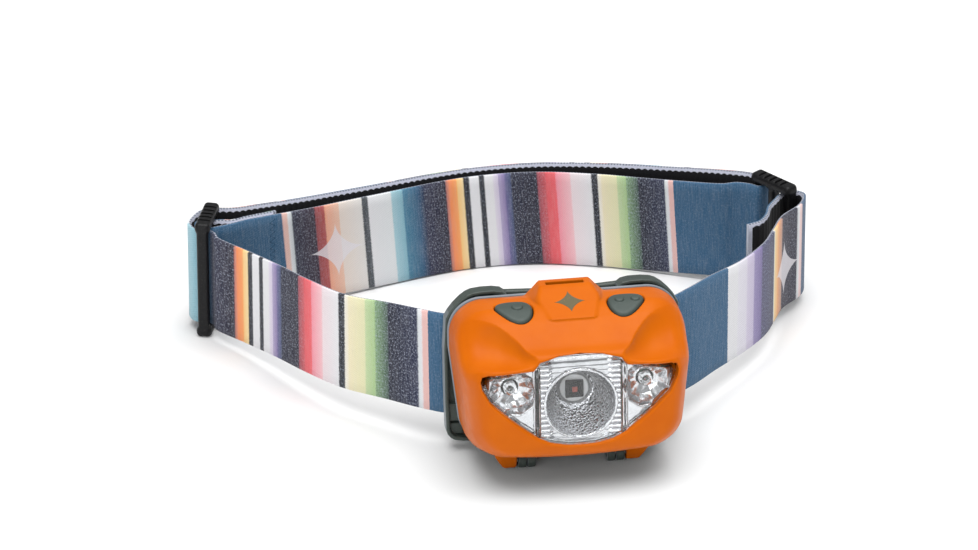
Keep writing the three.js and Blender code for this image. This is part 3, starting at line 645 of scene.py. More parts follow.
def selvage_yarn():
    """The pale woven edge of the webbing, with painted shade in the grooves of its twist."""
    g = Graph("selvage")
    twist_pitch = 0.8
    twist = g.math("SINE", g.math("MULTIPLY", print_map(g)[0], 2 * math.pi / twist_pitch))
    fuzz = g.noise(1.6, 4.0, 0.7)
    # Painted shade: darker where the twist is low, with a random tone from the fuzz.
    tone = g.mix(g.remap(g.math("ADD", twist, fuzz), -0.6, 1.6), (96, 102, 116), (176, 180, 192))
    g.set(Base_Color=tone, Roughness=0.9, Normal=g.bump(twist, 0.06), Sheen_Weight=0.1,
          Specular_IOR_Level=0.15)
    return g.material


def stitch_thread():
    g = Graph("stitch_thread")
    twist = g.noise(4.0, 3.0, 0.6)
    g.set(Base_Color=g.mix(twist, (24, 62, 92), (40, 86, 120)), Roughness=0.8,
          Normal=g.bump(twist, 0.05))
    return g.material


ORANGE = orange_shell()
DARK_GREEN = dark_plastic()
BLACK_PLASTIC = black_plastic()
TRAY_BLACK = tray_plastic()
SEAL_GREY = seal_rubber()
KEY_RUBBER = button_rubber()
CLEAR_LENS = clear_plastic("clear_lens")
CLEAR_DOME = clear_plastic("clear_dome", (244, 244, 246), 0.02)
REFLECTOR = bright_metal("bright_reflector", 0.6, 0.15)
FACET_METAL = bright_metal("bright_facets", 1.4, 0.05)
STEEL = steel()
BOARD = board_green()
CELL_SLEEVE = cell_sleeve()
DIE = led_die()
CERAMIC = ceramic()
INK = mark_ink()
PRINT = printed_webbing()
BACK = webbing_back()
SELVAGE_YARN = selvage_yarn()
THREAD = stitch_thread()


# ------------------------------------------------------------------ head: the outer form
# Sections from the joint to the face: depth, half width, top, bottom, upper and lower corner radius.

SECTIONS = np.array([
    [0.3, 27, 17.5, -17.6, 8, 6],
    [4, 27, 18.3, -17.6, 8, 6],
    [9, 27, 18.4, -17.6, 8.3, 6],
    [14, 26.9, 16.9, -17.0, 9, 6.6],
    [18.5, 26.2, 14.2, -15.8, 8.5, 7.2],
    [21.5, 25, 12.6, -14.4, 7, 7.4],
    [24, 22.8, 11.9, -12.9, 6, 7],
    [25.6, 15, 11.2, -11.2, 5.5, 6.4],
])
half_width, section_top, section_bottom, top_radius, low_radius = (
    smooth_table(SECTIONS[:, 0], SECTIONS[:, column]) for column in range(1, 6))

# The cheeks beside the brow are hollowed out. At each distance from the middle, the hollow runs
# from a crease on the top, in depth and height, down to the face, and sags below the straight line.
CHEEKS = np.array([
    [9.5, 25.2, 11.8, 25.8, 10.4, 0.1],
    [11.5, 22.4, 13.2, 25.6, 9.6, 0.9],
    [14, 18.6, 14.6, 25.4, 9.2, 1.8],
    [18, 14.6, 16.6, 24.9, 8.9, 2.7],
    [22, 12.0, 17.8, 23.4, 8.8, 2.9],
    [27, 9.8, 18.6, 20.0, 8.6, 2.2],
])
crease_depth, crease_height, foot_depth, foot_height, cheek_sag = (
    smooth_table(CHEEKS[:, 0], CHEEKS[:, column]) for column in range(1, 6))


def cheek_field(side, depth, z):
    """Positive in front of the hollow's surface."""
    d0, z0, d1, z1 = crease_depth(side), crease_height(side), foot_depth(side), foot_height(side)
    length = np.hypot(d1 - d0, z1 - z0)
    run_d, run_z = (d1 - d0) / length, (z1 - z0) / length
    along = ((depth - (d0 + d1) / 2) * run_d + (z - (z0 + z1) / 2) * run_z) / (length / 2)
    out = (z - (z0 + z1) / 2) * run_d - (depth - (d0 + d1) / 2) * run_z
    return out + cheek_sag(side) * (1 - np.clip(along, -1, 1) ** 2)


def section_field(x, z, half, top, bottom, upper, lower):
    """A rounded rectangle that narrows towards its lower edge."""
    x = x / (1 - 0.1 * np.clip((6 - z) / 24, 0, 1))
    middle = (top + bottom) / 2
    radius = np.where(z > middle, upper, lower)
    across = np.abs(x) - half + radius
    up = np.abs(z - middle) - (top - bottom) / 2 + radius
    outside = np.hypot(np.maximum(across, 0), np.maximum(up, 0))
    return outside + np.minimum(np.maximum(across, up), 0) - radius


def crown(x, z):
    """How far the head's face falls back from its middle."""
    return 0.0016 * x * x + 0.0012 * z * z


def head_field(x, y, z, inset=0.0, scooped=True):
    """The head's outer form, or one inset from it, with or without the hollowed cheeks."""
    depth = -y
    at = np.clip(depth, SECTIONS[0, 0], SECTIONS[-1, 0])
    bow = 0.003 * x * x * np.clip((depth - 6) / 8, 0, 1) * np.clip((-z - 6) / 8, 0, 1)
    section = section_field(x, z - bow, half_width(at), section_top(at), section_bottom(at),
                            top_radius(at), low_radius(at)) + inset
    front = depth - HEAD_DEPTH + crown(x, z) + inset
    body = blend_max(section, front, 1.6)
    if scooped:
        side = np.abs(x)
        soft = 0.55 + 3.6 * np.clip((side - 17) / 8, 0, 1) ** 1.4
        body = blend_max(body, cheek_field(side, depth, z) + inset, soft)
    return body


LENS_HALF = [
    (0, 11.6), (5, 11.4), (9.4, 10.4), (10.9, 8.5), (16.5, 8.1), (21.2, 7.7), (22.6, 7.2), (23, 6),
    (22.7, 4.2), (20.9, 0.8), (15.9, -3.8), (10.9, -7.7), (7.3, -9.5), (3.6, -10.3), (0, -10.5),
]
LENS_OUTLINE = LENS_HALF + [(-x, z) for x, z in reversed(LENS_HALF[1:-1])]


def window_field(x, z):
    """Distance to the edge of the lens's window, as seen from in front."""
    return polygon_field(LENS_OUTLINE, x, z)


def button_outline(side):
    """A rounded shield: blunt towards the boss, drawn out towards the head's corner."""
    half = [(-4.5, 1.6), (-4.1, 3.2), (-2.2, 4.3), (1.0, 4.5), (3.2, 3.9), (4.4, 1.7), (4.5, -0.7),
            (3.8, -2.8), (2.2, -4.3), (0.4, -4.4), (-1.5, -3.3), (-3.4, -1.2), (-4.4, 0.4)]
    outline = [(side * (BUTTON_X - x), BUTTON_Y + y) for x, y in half]
    return outline if side > 0 else outline[::-1]


def rounded(points, rounds=2):
    """Corner cutting: each round replaces a corner by two points nearer its neighbours."""
    for _ in range(rounds):
        pairs = zip(points, points[1:] + points[:1])
        points = [tuple(a + (b - a) * t for a, b in zip(p, q)) for p, q in pairs for t in (0.25, 0.75)]
    return points


BUTTON_OUTLINES = {side: rounded(button_outline(side)) for side in (-1, 1)}

# The boss's sloping face runs from its low edge in front to its high edge: y and z.
BOSS_LOW, BOSS_HIGH = (-15, 17.1), (-3.8, 21.2)
BOSS_FOOT = 11


def boss_field(x, y, z):
    """The raised latch boss in the middle of the top, narrower towards the front."""
    profile = polygon_field([(BOSS_LOW[0], BOSS_FOOT), BOSS_LOW, BOSS_HIGH, (JOINT_Y, BOSS_HIGH[1]),
                             (JOINT_Y, BOSS_FOOT)], y, z)
    half = [(9.8, BOSS_FOOT), (9.8, 17.2), (7.4, 19.5), (5.8, 21.3)]
    front = polygon_field([(-a, b) for a, b in half] + half[::-1], x, z)
    flank = np.abs(x) - 5.9 - 0.29 * (y + 14.6)
    return blend_max(blend_max(profile, flank, 1.6), front, 0.7)


def ear_field(x, y, z):
    """Two ears under the head, bored for the hinge pins."""
    side = np.abs(x)
    front = polygon_field([(12.9, -16), (18.8, -16), (18, -18.6), (15.7, -22.5), (12.9, -22.5)], side, z)
    profile = polygon_field([(-12, -15.5), (-10.1, HINGE_Z), (-9.4, -21.7), (HINGE_Y, -22.3), (-6.6, -21.7),
                             (-6.1, HINGE_Z), (-4.5, -15.5)], y, z)
    bore = np.hypot(y - HINGE_Y, z - HINGE_Z) - PIN_HOLE
    return blend_max(blend_max(front, profile, 0.6), -bore, 0.2)


def shell_field(x, y, z):
    """The front housing: a hollow head with its boss and ears, the lens window and two button wells."""
    outer = blend_max(head_field(x, y, z), y - JOINT_Y, 0.7)
    outer = blend_min(outer, boss_field(x, y, z), 0.45)
    outer = blend_min(outer, ear_field(x, y, z), 0.8)
    room = np.maximum(head_field(x, y, z, WALL), -y - HEAD_DEPTH + WALL)
    latch = polygon_field([(-7, 14), (-7, 17.6), (-3.6, 19.6), (1, 19.6), (1, 14)], y, z)
    room = np.minimum(room, np.maximum(latch, np.abs(x) - 4.6))
    rim = np.maximum(window_field(x, z) - 1.2, y + 17.5)
    room = np.maximum(room, -rim)
    shell = blend_max(outer, -room, 0.3)
    window = np.maximum(window_field(x, z), y + 17)
    shell = blend_max(shell, -window, 0.8)
    slot = box_field(x, y, z, (-4.4, -3.5, 18.9), (4.4, -1.7, 24), 0.3)
    shell = blend_max(shell, -slot, 0.3)
    for side in (-1, 1):
        well = np.maximum(polygon_field(BUTTON_OUTLINES[side], x, y), 12 - z)
        shell = blend_max(shell, -well, 0.6)
    return shell


def make_shell():
    piece = moulded("front_shell", shell_field, (-27.6, -26, -23), (27.6, 0, 21.8), 0.33, HEAD,
                    LAMP_BODY, ORANGE)
    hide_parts("front_housing")


# ------------------------------------------------------------------ lens and reflectors

RIB_PITCH = 1.25


def wing_recess(x):
    """The lens lies deeper in its window towards its two tips."""
    return 1.2 * np.clip((np.abs(x) - 14) / 8, 0, 1)


def lens_field(x, y, z):
    """A clear shell. Its wings follow the hollowed cheeks, and its middle block stands forward."""
    outline = window_field(x, z) + LENS_GAP
    beside_block = np.abs(x) - BLOCK_HALF
    wing_front = head_field(x, y, z, 0.9 + wing_recess(x))
    block_front = blend_max(head_field(x, y, z, 0.25, False), beside_block, 0.5)
    outer = blend_min(wing_front, block_front, 0.4)
    wing_back = head_field(x, y, z, 2.1 + wing_recess(x))
    block_back = np.maximum(head_field(x, y, z, 1.45, False), beside_block + 1.1)
    behind = np.minimum(wing_back, block_back)
    shape = blend_max(blend_max(outer, outline, 0.4), -behind, 0.3)
    return np.maximum(shape, y + 19.5)


def make_lens():
    piece = moulded("lens_shell", lens_field, (-23.6, -26, -11), (23.6, -19, 12), 0.28, HEAD, LAMP_BODY,
                    CLEAR_LENS)
    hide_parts("lens")


def cup_profile(rim_radius, hole_radius, rim_depth, floor_depth, steps):
    """Points (radius, depth) of a bowl, from its hole to its rim."""
    rows = []
    for i in range(steps + 1):
        share = i / steps
        radius = hole_radius + (rim_radius - hole_radius) * math.sqrt(share)
        rows.append((radius, floor_depth + (rim_depth - floor_depth) * share))
    return rows


def ring_faces(rings, count, closed):
    """Quads between neighbouring rings of count points, and from the last ring to the first if closed."""
    faces = []
    for i in range(rings if closed else rings - 1):
        here, there = i * count, (i + 1) % rings * count
        for j in range(count):
            k = (j + 1) % count
            faces.append((here + j, here + k, there + k, there + j))
    return faces


def turned(name, profile, x, z, segments, body, slot, material):
    """A closed profile of (radius, depth) turned about an axis along y."""
    points = []
    for i in range(segments):
        angle = 2 * math.pi * i / segments
        for radius, depth in profile:
            points.append((x + radius * math.cos(angle), -depth, z + radius * math.sin(angle)))
    faces = ring_faces(segments, len(profile), True)
    return mesh_piece(name, np.array(points), faces, HEAD, body, material)


def main_cup():
    """The smooth bowl round the main light, with a small lip at its rim."""
    inside = cup_profile(REFLECTOR_RADIUS, 3.3, REFLECTOR_RIM, 13.8, 24)
    lip = [(REFLECTOR_RADIUS + 0.35, REFLECTOR_RIM + 0.05)]
    outside = [(r + 0.6, d - 0.05) for r, d in reversed(inside)]
    profile = inside + lip + outside
    piece = turned("main_reflector_cup", profile, 0, BEAM_Z, 96, LAMP_BODY, "bright_reflector", REFLECTOR)
    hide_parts("main_reflector")


def skirt_field(x, y, z, front):
    """A thin metallised wall just inside the lens's edge."""
    wall = slab(window_field(x, z), -0.75, -0.08)
    return np.maximum(np.maximum(wall, y + 18), front)


def ribbed_frame_field(x, y, z):
    """The metallised plate round the main cup, with level ribs beside it."""
    beside = np.clip((np.abs(x) - 6.2) / 1.2, 0.12, 1)
    ribs = 0.7 * beside * np.abs(np.sin(math.pi * z / RIB_PITCH))
    edge = np.abs(x) - BLOCK_HALF + 1.3
    plate = np.maximum(np.maximum(window_field(x, z) + 0.2, edge), slab(y, -23.1, -22.2) - ribs)
    skirt = skirt_field(x, y, z, head_field(x, y, z, 1.55, False))
    plate = np.minimum(plate, np.maximum(skirt, edge))
    hole = np.hypot(x, z - BEAM_Z) - REFLECTOR_RADIUS - 0.45
    return np.maximum(plate, -hole)


def wing_field(side):
    """One wing of the metallised plate, close behind the lens, with a faceted bowl round the light."""
    facet = math.pi / 5
    bowl_radius, bowl_depth, bowl_y = 5.6, 5.4, -23.5
    hole_radius = 2.0

    def field(x, y, z):
        inner_edge = BLOCK_HALF - 0.9 - side * x
        flange = np.maximum(window_field(x, z) + 0.35, inner_edge)
        body = np.maximum(flange, head_field(x, y, z, 2.7 + wing_recess(x)))
        body = blend_max(body, y + 17.6, 0.3)
        wall = skirt_field(x, y, z, head_field(x, y, z, 2.2 + wing_recess(x)))
        body = np.minimum(body, np.maximum(wall, inner_edge))
        right, up = x - side * SIDE_LIGHT_X, z - SIDE_LIGHT_Z
        wrapped = np.mod(np.arctan2(up, right), facet) - facet / 2
        radius = np.hypot(right, up) * np.cos(wrapped)
        bowl = np.sqrt((radius / bowl_radius) ** 2 + ((y - bowl_y) / bowl_depth) ** 2) - 1
        body = blend_max(body, -4 * bowl, 0.3)
        return np.maximum(body, hole_radius - np.hypot(right, up))
    return field


def make_reflectors():
    main_cup()
    moulded("reflector_frame", ribbed_frame_field, (-9.6, -25, -11), (9.6, -17.8, 12), 0.22, HEAD,
            LAMP_BODY, FACET_METAL)
    for side, name in SIDE_NAMES.items():
        low, high = sorted((side * 9.6, side * 23.4))
        piece = moulded(f"wing_reflector_{name}", wing_field(side), (low, -24, -8.8), (high, -17.4, 8.6),
                        0.25, HEAD, LAMP_BODY, FACET_METAL)
        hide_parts(f"side_reflector_{name}")


AXIS_GAP = 0.02       # a turned profile stops just short of its axis
DOME_RADIUS = 1.5
DOME_CENTRE = 20.2
CUP_OFFSET = -0.35


def make_side_lights():
    """Clear 3 mm lights, each with a small metal cup and post inside."""
    angles = [math.pi / 2 * i / 8 for i in range(9)]
    dome = [(DOME_RADIUS * math.sin(a), DOME_CENTRE + DOME_RADIUS * math.cos(a)) for a in angles]
    dome[0] = (AXIS_GAP, DOME_CENTRE + DOME_RADIUS)
    profile = dome + [(DOME_RADIUS, 17.5), (1.9, 17.4), (1.9, 16.7), (AXIS_GAP, 16.7)]
    for side, node, die in ((-1, "white_led", CERAMIC), (1, "red_led", DIE)):
        x = side * SIDE_LIGHT_X
        piece = turned(f"{node}_dome", profile[::-1], x, SIDE_LIGHT_Z, 32, LAMP_BODY, "clear_lens",
                       CLEAR_DOME)
        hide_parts(node)
        for label, offset, radius, tip in (("cup", CUP_OFFSET, 0.5, 19.6), ("post", 0.62, 0.2, 19.9)):
            stem = [(AXIS_GAP, tip), (radius, tip - 0.1), (radius, tip - 0.5), (0.22, tip - 1.0),
                    (0.22, 16.9), (AXIS_GAP, 16.9)]
            turned(f"{node}_{label}", stem[::-1], x + offset, SIDE_LIGHT_Z, 20, LAMP_BODY, "steel", STEEL)
        chip = [(AXIS_GAP, 19.85), (0.3, 19.82), (0.3, 19.55), (AXIS_GAP, 19.55)]
        turned(f"{node}_chip", chip[::-1], x + CUP_OFFSET, SIDE_LIGHT_Z, 12, LAMP_BODY, "led_die", die)


def make_main_led():
    """A pale ceramic base and a black square frame. The die inside is the CAD's own node."""
    base = [(AXIS_GAP, 14.1), (3.2, 14.1), (3.35, 14.0), (3.35, 13.3), (AXIS_GAP, 13.3)]
    piece = turned("main_led_base", base[::-1], 0, BEAM_Z, 48, LAMP_BODY, "led_die", CERAMIC)
    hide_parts("main_led")

    def frame_field(x, y, z):
        outer = box_field(x, y, z, (-2.1, -14.95, BEAM_Z - 2.1), (2.1, -14.0, BEAM_Z + 2.1), 0.18)
        hole = box_field(x, y, z, (-1.4, -16, BEAM_Z - 1.4), (1.4, -14.4, BEAM_Z + 1.4), 0.1)
        return blend_max(outer, -hole, 0.1)

    moulded("main_led_frame", frame_field, (-2.3, -15.1, BEAM_Z - 2.3), (2.3, -13.8, BEAM_Z + 2.3), 0.1,
            HEAD, LAMP_BODY, BLACK_PLASTIC)


# ------------------------------------------------------------------ buttons

KEY_GAP = 0.2
KEY_PROUD = 0.35          # how far the cap stands above the shell
DOT_PROUD = 0.85
STEM_Y = -12.7
STEM_RADIUS = 1.1


def button_field(side):
    """A rubber cap with one raised dot on the left key and two on the right, over a short stem."""
    spots, dot_radius = ((0.8,), 1.35) if side < 0 else ((1.5, -2.2), 1.1)
    dots = [(side * (BUTTON_X - inward), BUTTON_Y + 0.5) for inward in spots]

    def field(x, y, z):
        outline = polygon_field(BUTTON_OUTLINES[side], x, y) + KEY_GAP
        top = head_field(x, y, z - KEY_PROUD, 0.0, False)
        cap = blend_max(blend_max(outline, top, 0.9), 16.1 - z, 0.2)
        for dot_x, dot_y in dots:
            disc = np.hypot(x - dot_x, y - dot_y) - dot_radius
            raised = blend_max(disc, head_field(x, y, z - DOT_PROUD, 0.0, False), 0.5)
            cap = blend_min(cap, np.maximum(raised, 17 - z), 0.12)
        room_for_shell = box_field(x, y, z, (-30, -9, 10), (30, 0, 16.9))
        cap = np.maximum(cap, -room_for_shell)
        stem = np.hypot(x - side * BUTTON_X, y - STEM_Y) - STEM_RADIUS
        return blend_min(cap, np.maximum(stem, slab(z, 16, 16.8)), 0.2)
    return field


def make_buttons():
    for side, name in SIDE_NAMES.items():
        x = side * BUTTON_X
        piece = moulded(f"key_{name}", button_field(side), (x - 5, -15.6, 15.3), (x + 5, -5, 20.2), 0.16,
                        HEAD, KEY_BODIES[side], KEY_RUBBER)
        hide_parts(f"button_{name}")


# ------------------------------------------------------------------ gasket, cover and bracket

COVER_PLATE = (1.2, 2.6)       # where each plate behind the head begins and ends
BRACKET_PLATE = (3.2, 5.0)
ARM_TOP = -18.5
KNUCKLE_RADIUS = 1.9


def gasket_field(x, y, z):
    """The grey seal: a flat ring between the shell and the cover."""
    outer = section_field(x, z, 27.2, 17.7, -17.6, 8, 6)
    inner = section_field(x, z, 25, 15.5, -15.6, 6, 4)
    return blend_max(blend_max(outer, -inner, 0.4), slab(y, 0.0, 0.9), 0.5)


def knee_field(x, y, z, low, high, plate_low, plate_high):
    """Two mirrored arms from a plate behind the head, forward to a knuckle on the pin."""
    heel, gusset_top = plate_low - 4, -15.5
    run = np.maximum(slab(z, HINGE_Z, ARM_TOP), slab(y, HINGE_Y, plate_high))
    gusset = polygon_field([(heel, HINGE_Z), (plate_high, HINGE_Z), (plate_high, gusset_top),
                            (plate_low, gusset_top)], y, z)
    neck = polygon_field([(HINGE_Y, ARM_TOP), (HINGE_Y, -22.3), (heel, HINGE_Z), (plate_high, HINGE_Z),
                          (plate_high, ARM_TOP)], y, z)
    from_pin = np.hypot(y - HINGE_Y, z - HINGE_Z)
    arm = blend_min(np.minimum(run, neck), gusset, 0.6)
    arm = blend_min(arm, from_pin - KNUCKLE_RADIUS, 0.3)
    arm = blend_max(arm, slab(np.abs(x), low, high), 0.35)
    return blend_max(arm, PIN_HOLE - from_pin, 0.15)


def cover_field(x, y, z):
    """The back cover: a plate with a rib inside the seal, a latch hook on top and two arms below."""
    front, back = COVER_PLATE
    outline = section_field(x, z, 25.2, 15.2, -15.2, 9.5, 6)
    plate = blend_max(outline, slab(y, front, back), 0.5)
    rib = blend_max(np.abs(outline + 2.2) - 0.5, slab(y, 0.9, 1.5), 0.2)
    hook = polygon_field([(back, 13.5), (back, 18.9), (-2.6, 18.9), (-2.6, 17.7), (front, 17.7),
                          (front, 13.5)], y, z)
    latch = blend_max(hook, np.abs(x) - 3.8, 0.3)
    body = blend_min(blend_min(plate, latch, 0.4), rib, 0.2)
    return blend_min(body, knee_field(x, y, z, 10.6, 12.5, front, back), 0.4)


BRACKET_HALF = [(12.8, 17.2), (14.6, 18.6), (20.4, 18.6), (23, 17.6), (26.2, 14.4), (27.9, 11.4),
                (27.9, -15.2), (27.2, -17.4), (25.2, -18.7), (19.4, -18.8), (18.4, -20.4)]
BRACKET_OUTLINE = rounded([(-x, z) for x, z in BRACKET_HALF] + BRACKET_HALF[::-1], 1)
BRACKET_STEPS = [(-13.7, -9.4, 1.9), (-17.2, -14.4, 2.4)]    # lower end, upper end and front


def bracket_field(x, y, z):
    """The tilting bracket: a plate with low walls and steps at its sides, two arms and two belt loops."""
    side = np.abs(x)
    front, back = BRACKET_PLATE
    outline = polygon_field(BRACKET_OUTLINE, x, z)
    plate = blend_max(outline, slab(y, front, back), 0.8)
    walls = np.maximum(blend_max(outline, -outline - 1.0, 0.3), 13 - side)
    body = blend_min(plate, blend_max(walls, slab(y, 1.2, 3.6), 0.4), 0.3)
    for low, high, step_front in BRACKET_STEPS:
        step = box_field(side, y, z, (23.5, step_front, low), (27.2, 4, high), 0.25)
        body = blend_min(body, step, 0.2)
    body = blend_min(body, knee_field(x, y, z, 8.4, 10.3, front, back), 0.4)
    low, high, loop_wall = -16.2, 14.2, 2.4
    loop = box_field(side, y, z, (15, 4.9, low), (24.5, 8.7, high), 0.5)
    channel = box_field(side, y, z, (10, back, low + loop_wall), (30, 7.2, high - loop_wall), 0.2)
    return blend_min(body, blend_max(loop, -channel, 0.3), 0.4)


def make_back():
    piece = moulded("gasket_ring", gasket_field, (-27.5, -0.2, -18), (27.5, 1.1, 18), 0.25, HEAD,
                    COVER_BODY, SEAL_GREY)
    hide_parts("gasket")
    piece = moulded("cover_plate", cover_field, (-25.5, -10.2, -22.6), (25.5, 2.9, 19.2), 0.3, HEAD,
                    COVER_BODY, DARK_GREEN)
    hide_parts("rear_cover")
    piece = moulded("band_bracket", bracket_field, (-28.2, -10.2, -22.6), (28.2, 9, 18.9), 0.3, HEAD,
                    BAND_BODY, DARK_GREEN)
    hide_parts("bracket")


# ------------------------------------------------------------------ sliders

SLIDER_HEIGHT = 30.5
SLIDER_LENGTH = 12.6
SLIDER_BAR = 2.0
SLIDER_PITCH = (SLIDER_LENGTH - SLIDER_BAR) / 2
BAR_THICK, TIP_THICK = 1.4, 1.85       # half thicknesses
GROOVE_PITCH, GROOVE_HALF, GROOVE_DEPTH = 1.75, 0.36, 0.55
STRAP_LIFT = 2.7                       # height of the webbing's lower edge in the sliders
WINDOW_LOW, WINDOW_HIGH = STRAP_LIFT - 0.3, STRAP_LIFT + STRAP_WIDTH + 0.3


def slider_field(x, y, z):
    """Three upright bars between two ends. The ends have a row of grooves in their outer face."""
    def block(left, right, thick, low, high, radius):
        return box_field(x, y, z, (left, -thick, low), (right, thick, high), radius)

    reach = SLIDER_BAR / 2
    middles = (-SLIDER_PITCH, 0, SLIDER_PITCH)
    bars = [block(m - reach, m + reach, BAR_THICK, 1, SLIDER_HEIGHT - 1, 0.8) for m in middles]
    half = SLIDER_LENGTH / 2
    tips = np.minimum(block(-half, half, TIP_THICK, 0, WINDOW_LOW, 1.05),
                      block(-half, half, TIP_THICK, WINDOW_HIGH, SLIDER_HEIGHT, 1.05))
    body = blend_min(np.minimum(np.minimum(bars[0], bars[1]), bars[2]), tips, 0.8)
    for groove in range(-2, 3):
        at = groove * GROOVE_PITCH
        for low, high in ((-1, GROOVE_DEPTH), (SLIDER_HEIGHT - GROOVE_DEPTH, SLIDER_HEIGHT + 1)):
            cut = block(at - GROOVE_HALF, at + GROOVE_HALF, BAR_THICK, low, high, 0.12)
            body = blend_max(body, -cut, 0.15)
    return body


class SliderPlace:
    """A slider stands on the table: its middle bar's place in plan and the direction across its bars."""

    def __init__(self, x, y, dx, dy):
        self.along = np.array((dx, dy)) / math.hypot(dx, dy)
        self.outward = np.array((-self.along[1], self.along[0]))
        self.middle = np.array((x, y))

    def at(self, s, q, z=STRAP_LIFT):
        """A point s along the slider's length and q out from it."""
        place = self.middle + s * self.along + q * self.outward
        return (place[0], place[1], z)

    def matrix(self):
        turn = Matrix.Rotation(math.atan2(self.along[1], self.along[0]), 4, "Z")
        return PLAN @ Matrix.Translation((*self.middle, 0)) @ turn


# The plan of the headband is drawn from a point on the table, a little in front of the head's joint.
PLAN_BEFORE_JOINT = 6.5
PLAN_Y = head_place.y - PLAN_BEFORE_JOINT
PLAN = Matrix.Scale(MM, 4) @ Matrix.Translation((LAMP_X, PLAN_Y, 0))
LEFT = SliderPlace(-74.7, 76.2, 0.33, 0.945)
RIGHT = SliderPlace(62.4, 72.9, 0.58, -0.81)


def make_sliders():
    for name, place in (("left", LEFT), ("right", RIGHT)):
        piece = moulded(f"tri_glide_{name}", slider_field, (-6.9, -2.3, -0.3), (6.9, 2.3, 30.8), 0.2,
                        place.matrix(), BAND_BODY, BLACK_PLASTIC)
        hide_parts(f"slider_{name}")


# ------------------------------------------------------------------ headband webbing

BEHIND_LAMP = PLAN_BEFORE_JOINT + 4.65
FACE_ROWS = 10
PRINTED, EDGE, INNER = range(3)       # the finishes round the webbing


def strap_route():
    """The webbing's middle line in plan, one continuous piece: x, y and height of its lower edge.

    It starts at the loose tail, runs through the right slider, round to the lamp and behind it,
    through the left slider, along the outside at the back, round the right slider's far bar,
    back along the inside, and ends folded round the left slider's middle bar."""
    left, right, lift = LEFT.at, RIGHT.at, STRAP_LIFT
    return np.array([
        (52.7, 55.6, lift), (55.9, 57, lift), (58.2, 60.2, lift), (59.6, 64.2, lift), right(3.9, -3.2),
        right(3.2, -1.2), right(3.2, 1.1), right(4, 2.6), right(6.4, 3.3), right(8.4, 1.6),
        (66.6, 62.6, 3.2), (61.4, 56.2, 4), (57.8, 48.5, 4.8), (54.2, 41, 5.4), (47.4, 32, 6.2),
        (38.6, 22.6, 7), (31.4, 15, 7.4), (26, BEHIND_LAMP + 0.1, 7.4), (20, BEHIND_LAMP, 7.4),
        (0, BEHIND_LAMP, 7.4), (-20, BEHIND_LAMP, 7.4), (-26, BEHIND_LAMP + 0.1, 7.4), (-31.5, 14.2, 7.4),
        (-40, 21.6, 6.9), (-48.6, 29.8, 6), (-55.6, 39.8, 5.2), (-61.4, 50, 4.3), (-67.8, 60.6, 3.2),
        left(-6.6, -3.7), left(-4.4, -2.5), left(-3.4, -1.1), left(-3.4, 0.9), left(-2.9, 2.7),
        left(-0.4, 4.3), left(3.2, 4.1), left(6.4, 2.9), left(8.2, 0.7, 2.6), (-67.4, 83.9, 2.4),
        (-60, 85.6, 2), (-50.9, 88.6, 1.2), (-34, 93.4, 0.6), (-9, 99.2, 0.4), (8, 99.6, 0.4),
        (24, 97, 0.4), (41, 91.2, 1), (52, 85.9, 2), right(-8.8, 2.2), right(-5.6, 2.3), right(-3.6, 1.7),
        right(-3.1, 0), right(-3.6, -1.7), right(-5.6, -2.3), right(-9.2, -3.7, 2.3), (51, 79, 1.8),
        (41.3, 83.5, 1), (32.3, 87.6, 0.5), (23.1, 91.1, 0.4), (7.5, 95, 0.3), (-8.8, 94.9, 0.3),
        (-33.7, 88.3, 0.6), (-50, 82.4, 1.4), (-59, 79, 2.2), (-65.3, 76.6, lift), (-69.4, 75.1, lift),
        left(-0.9, -3.1), left(-1.9, -1.4), left(-2, 0.9), left(-1.4, 2.1), left(0, 2.6), left(1.4, 2.1),
        left(2, 0.9), left(2, -1.2), left(2.5, -3), (-68.9, 77.1, lift), (-64.8, 78.5, lift),
        (-57.6, 81.3, 2.2),
    ])


def smooth_path(points, spacing):
    """A centripetal Catmull-Rom curve through the points, then even steps along it."""
    ends = [2 * points[0] - points[1], *points, 2 * points[-1] - points[-2]]
    fine = []
    for p0, p1, p2, p3 in zip(ends, ends[1:], ends[2:], ends[3:]):
        spans = ((p0, p1), (p1, p2), (p2, p3))
        d0, d1, d2 = (max(math.sqrt(np.linalg.norm(b - a)), 1e-6) for a, b in spans)
        start = ((p1 - p0) / d0 - (p2 - p0) / (d0 + d1) + (p2 - p1) / d1) * d1
        end = ((p2 - p1) / d1 - (p3 - p1) / (d1 + d2) + (p3 - p2) / d2) * d1
        for t in np.arange(0, 1, 1 / 24):
            place = (2 * t ** 3 - 3 * t * t + 1) * p1 + (t ** 3 - 2 * t * t + t) * start
            fine.append(place + (3 * t * t - 2 * t ** 3) * p2 + (t ** 3 - t * t) * end)
    fine = np.array([*fine, points[-1]])
    run = np.r_[0, np.cumsum(np.linalg.norm(np.diff(fine, axis=0), axis=1))]
    steps = np.linspace(0, run[-1], int(run[-1] / spacing) + 1)
    return np.stack([np.interp(steps, run, fine[:, k]) for k in range(3)], 1), steps


SKEW = 0.075                            # at the back the bands lean a little
SKEW_START, SKEW_FADE = 395, 20


def print_place(run):
    """Place in the printed pattern. The elastic is stretched unevenly, so matching places are listed:
    from the start of the front run, and from the start of the run at the back."""
    front = [0, 25.5, 59.2, 64.2, 74, 77, 82, 89]
    rear = [0, 20.3, 62.6, 100.5]
    front_print = [0, 23.3, 56.6, 61.4, 67.9, 73.1, 76.1, 81]
    rear_print = [0, 23.3, 67.9, 105.4]
    knots = [0] + [FRONT_START + v for v in front] + [REAR_START + v for v in rear] + [600]
    values = [-FRONT_START] + front_print + [2 * REPEAT + v for v in rear_print] + [2 * REPEAT + 185]
    return np.interp(run, knots, values)


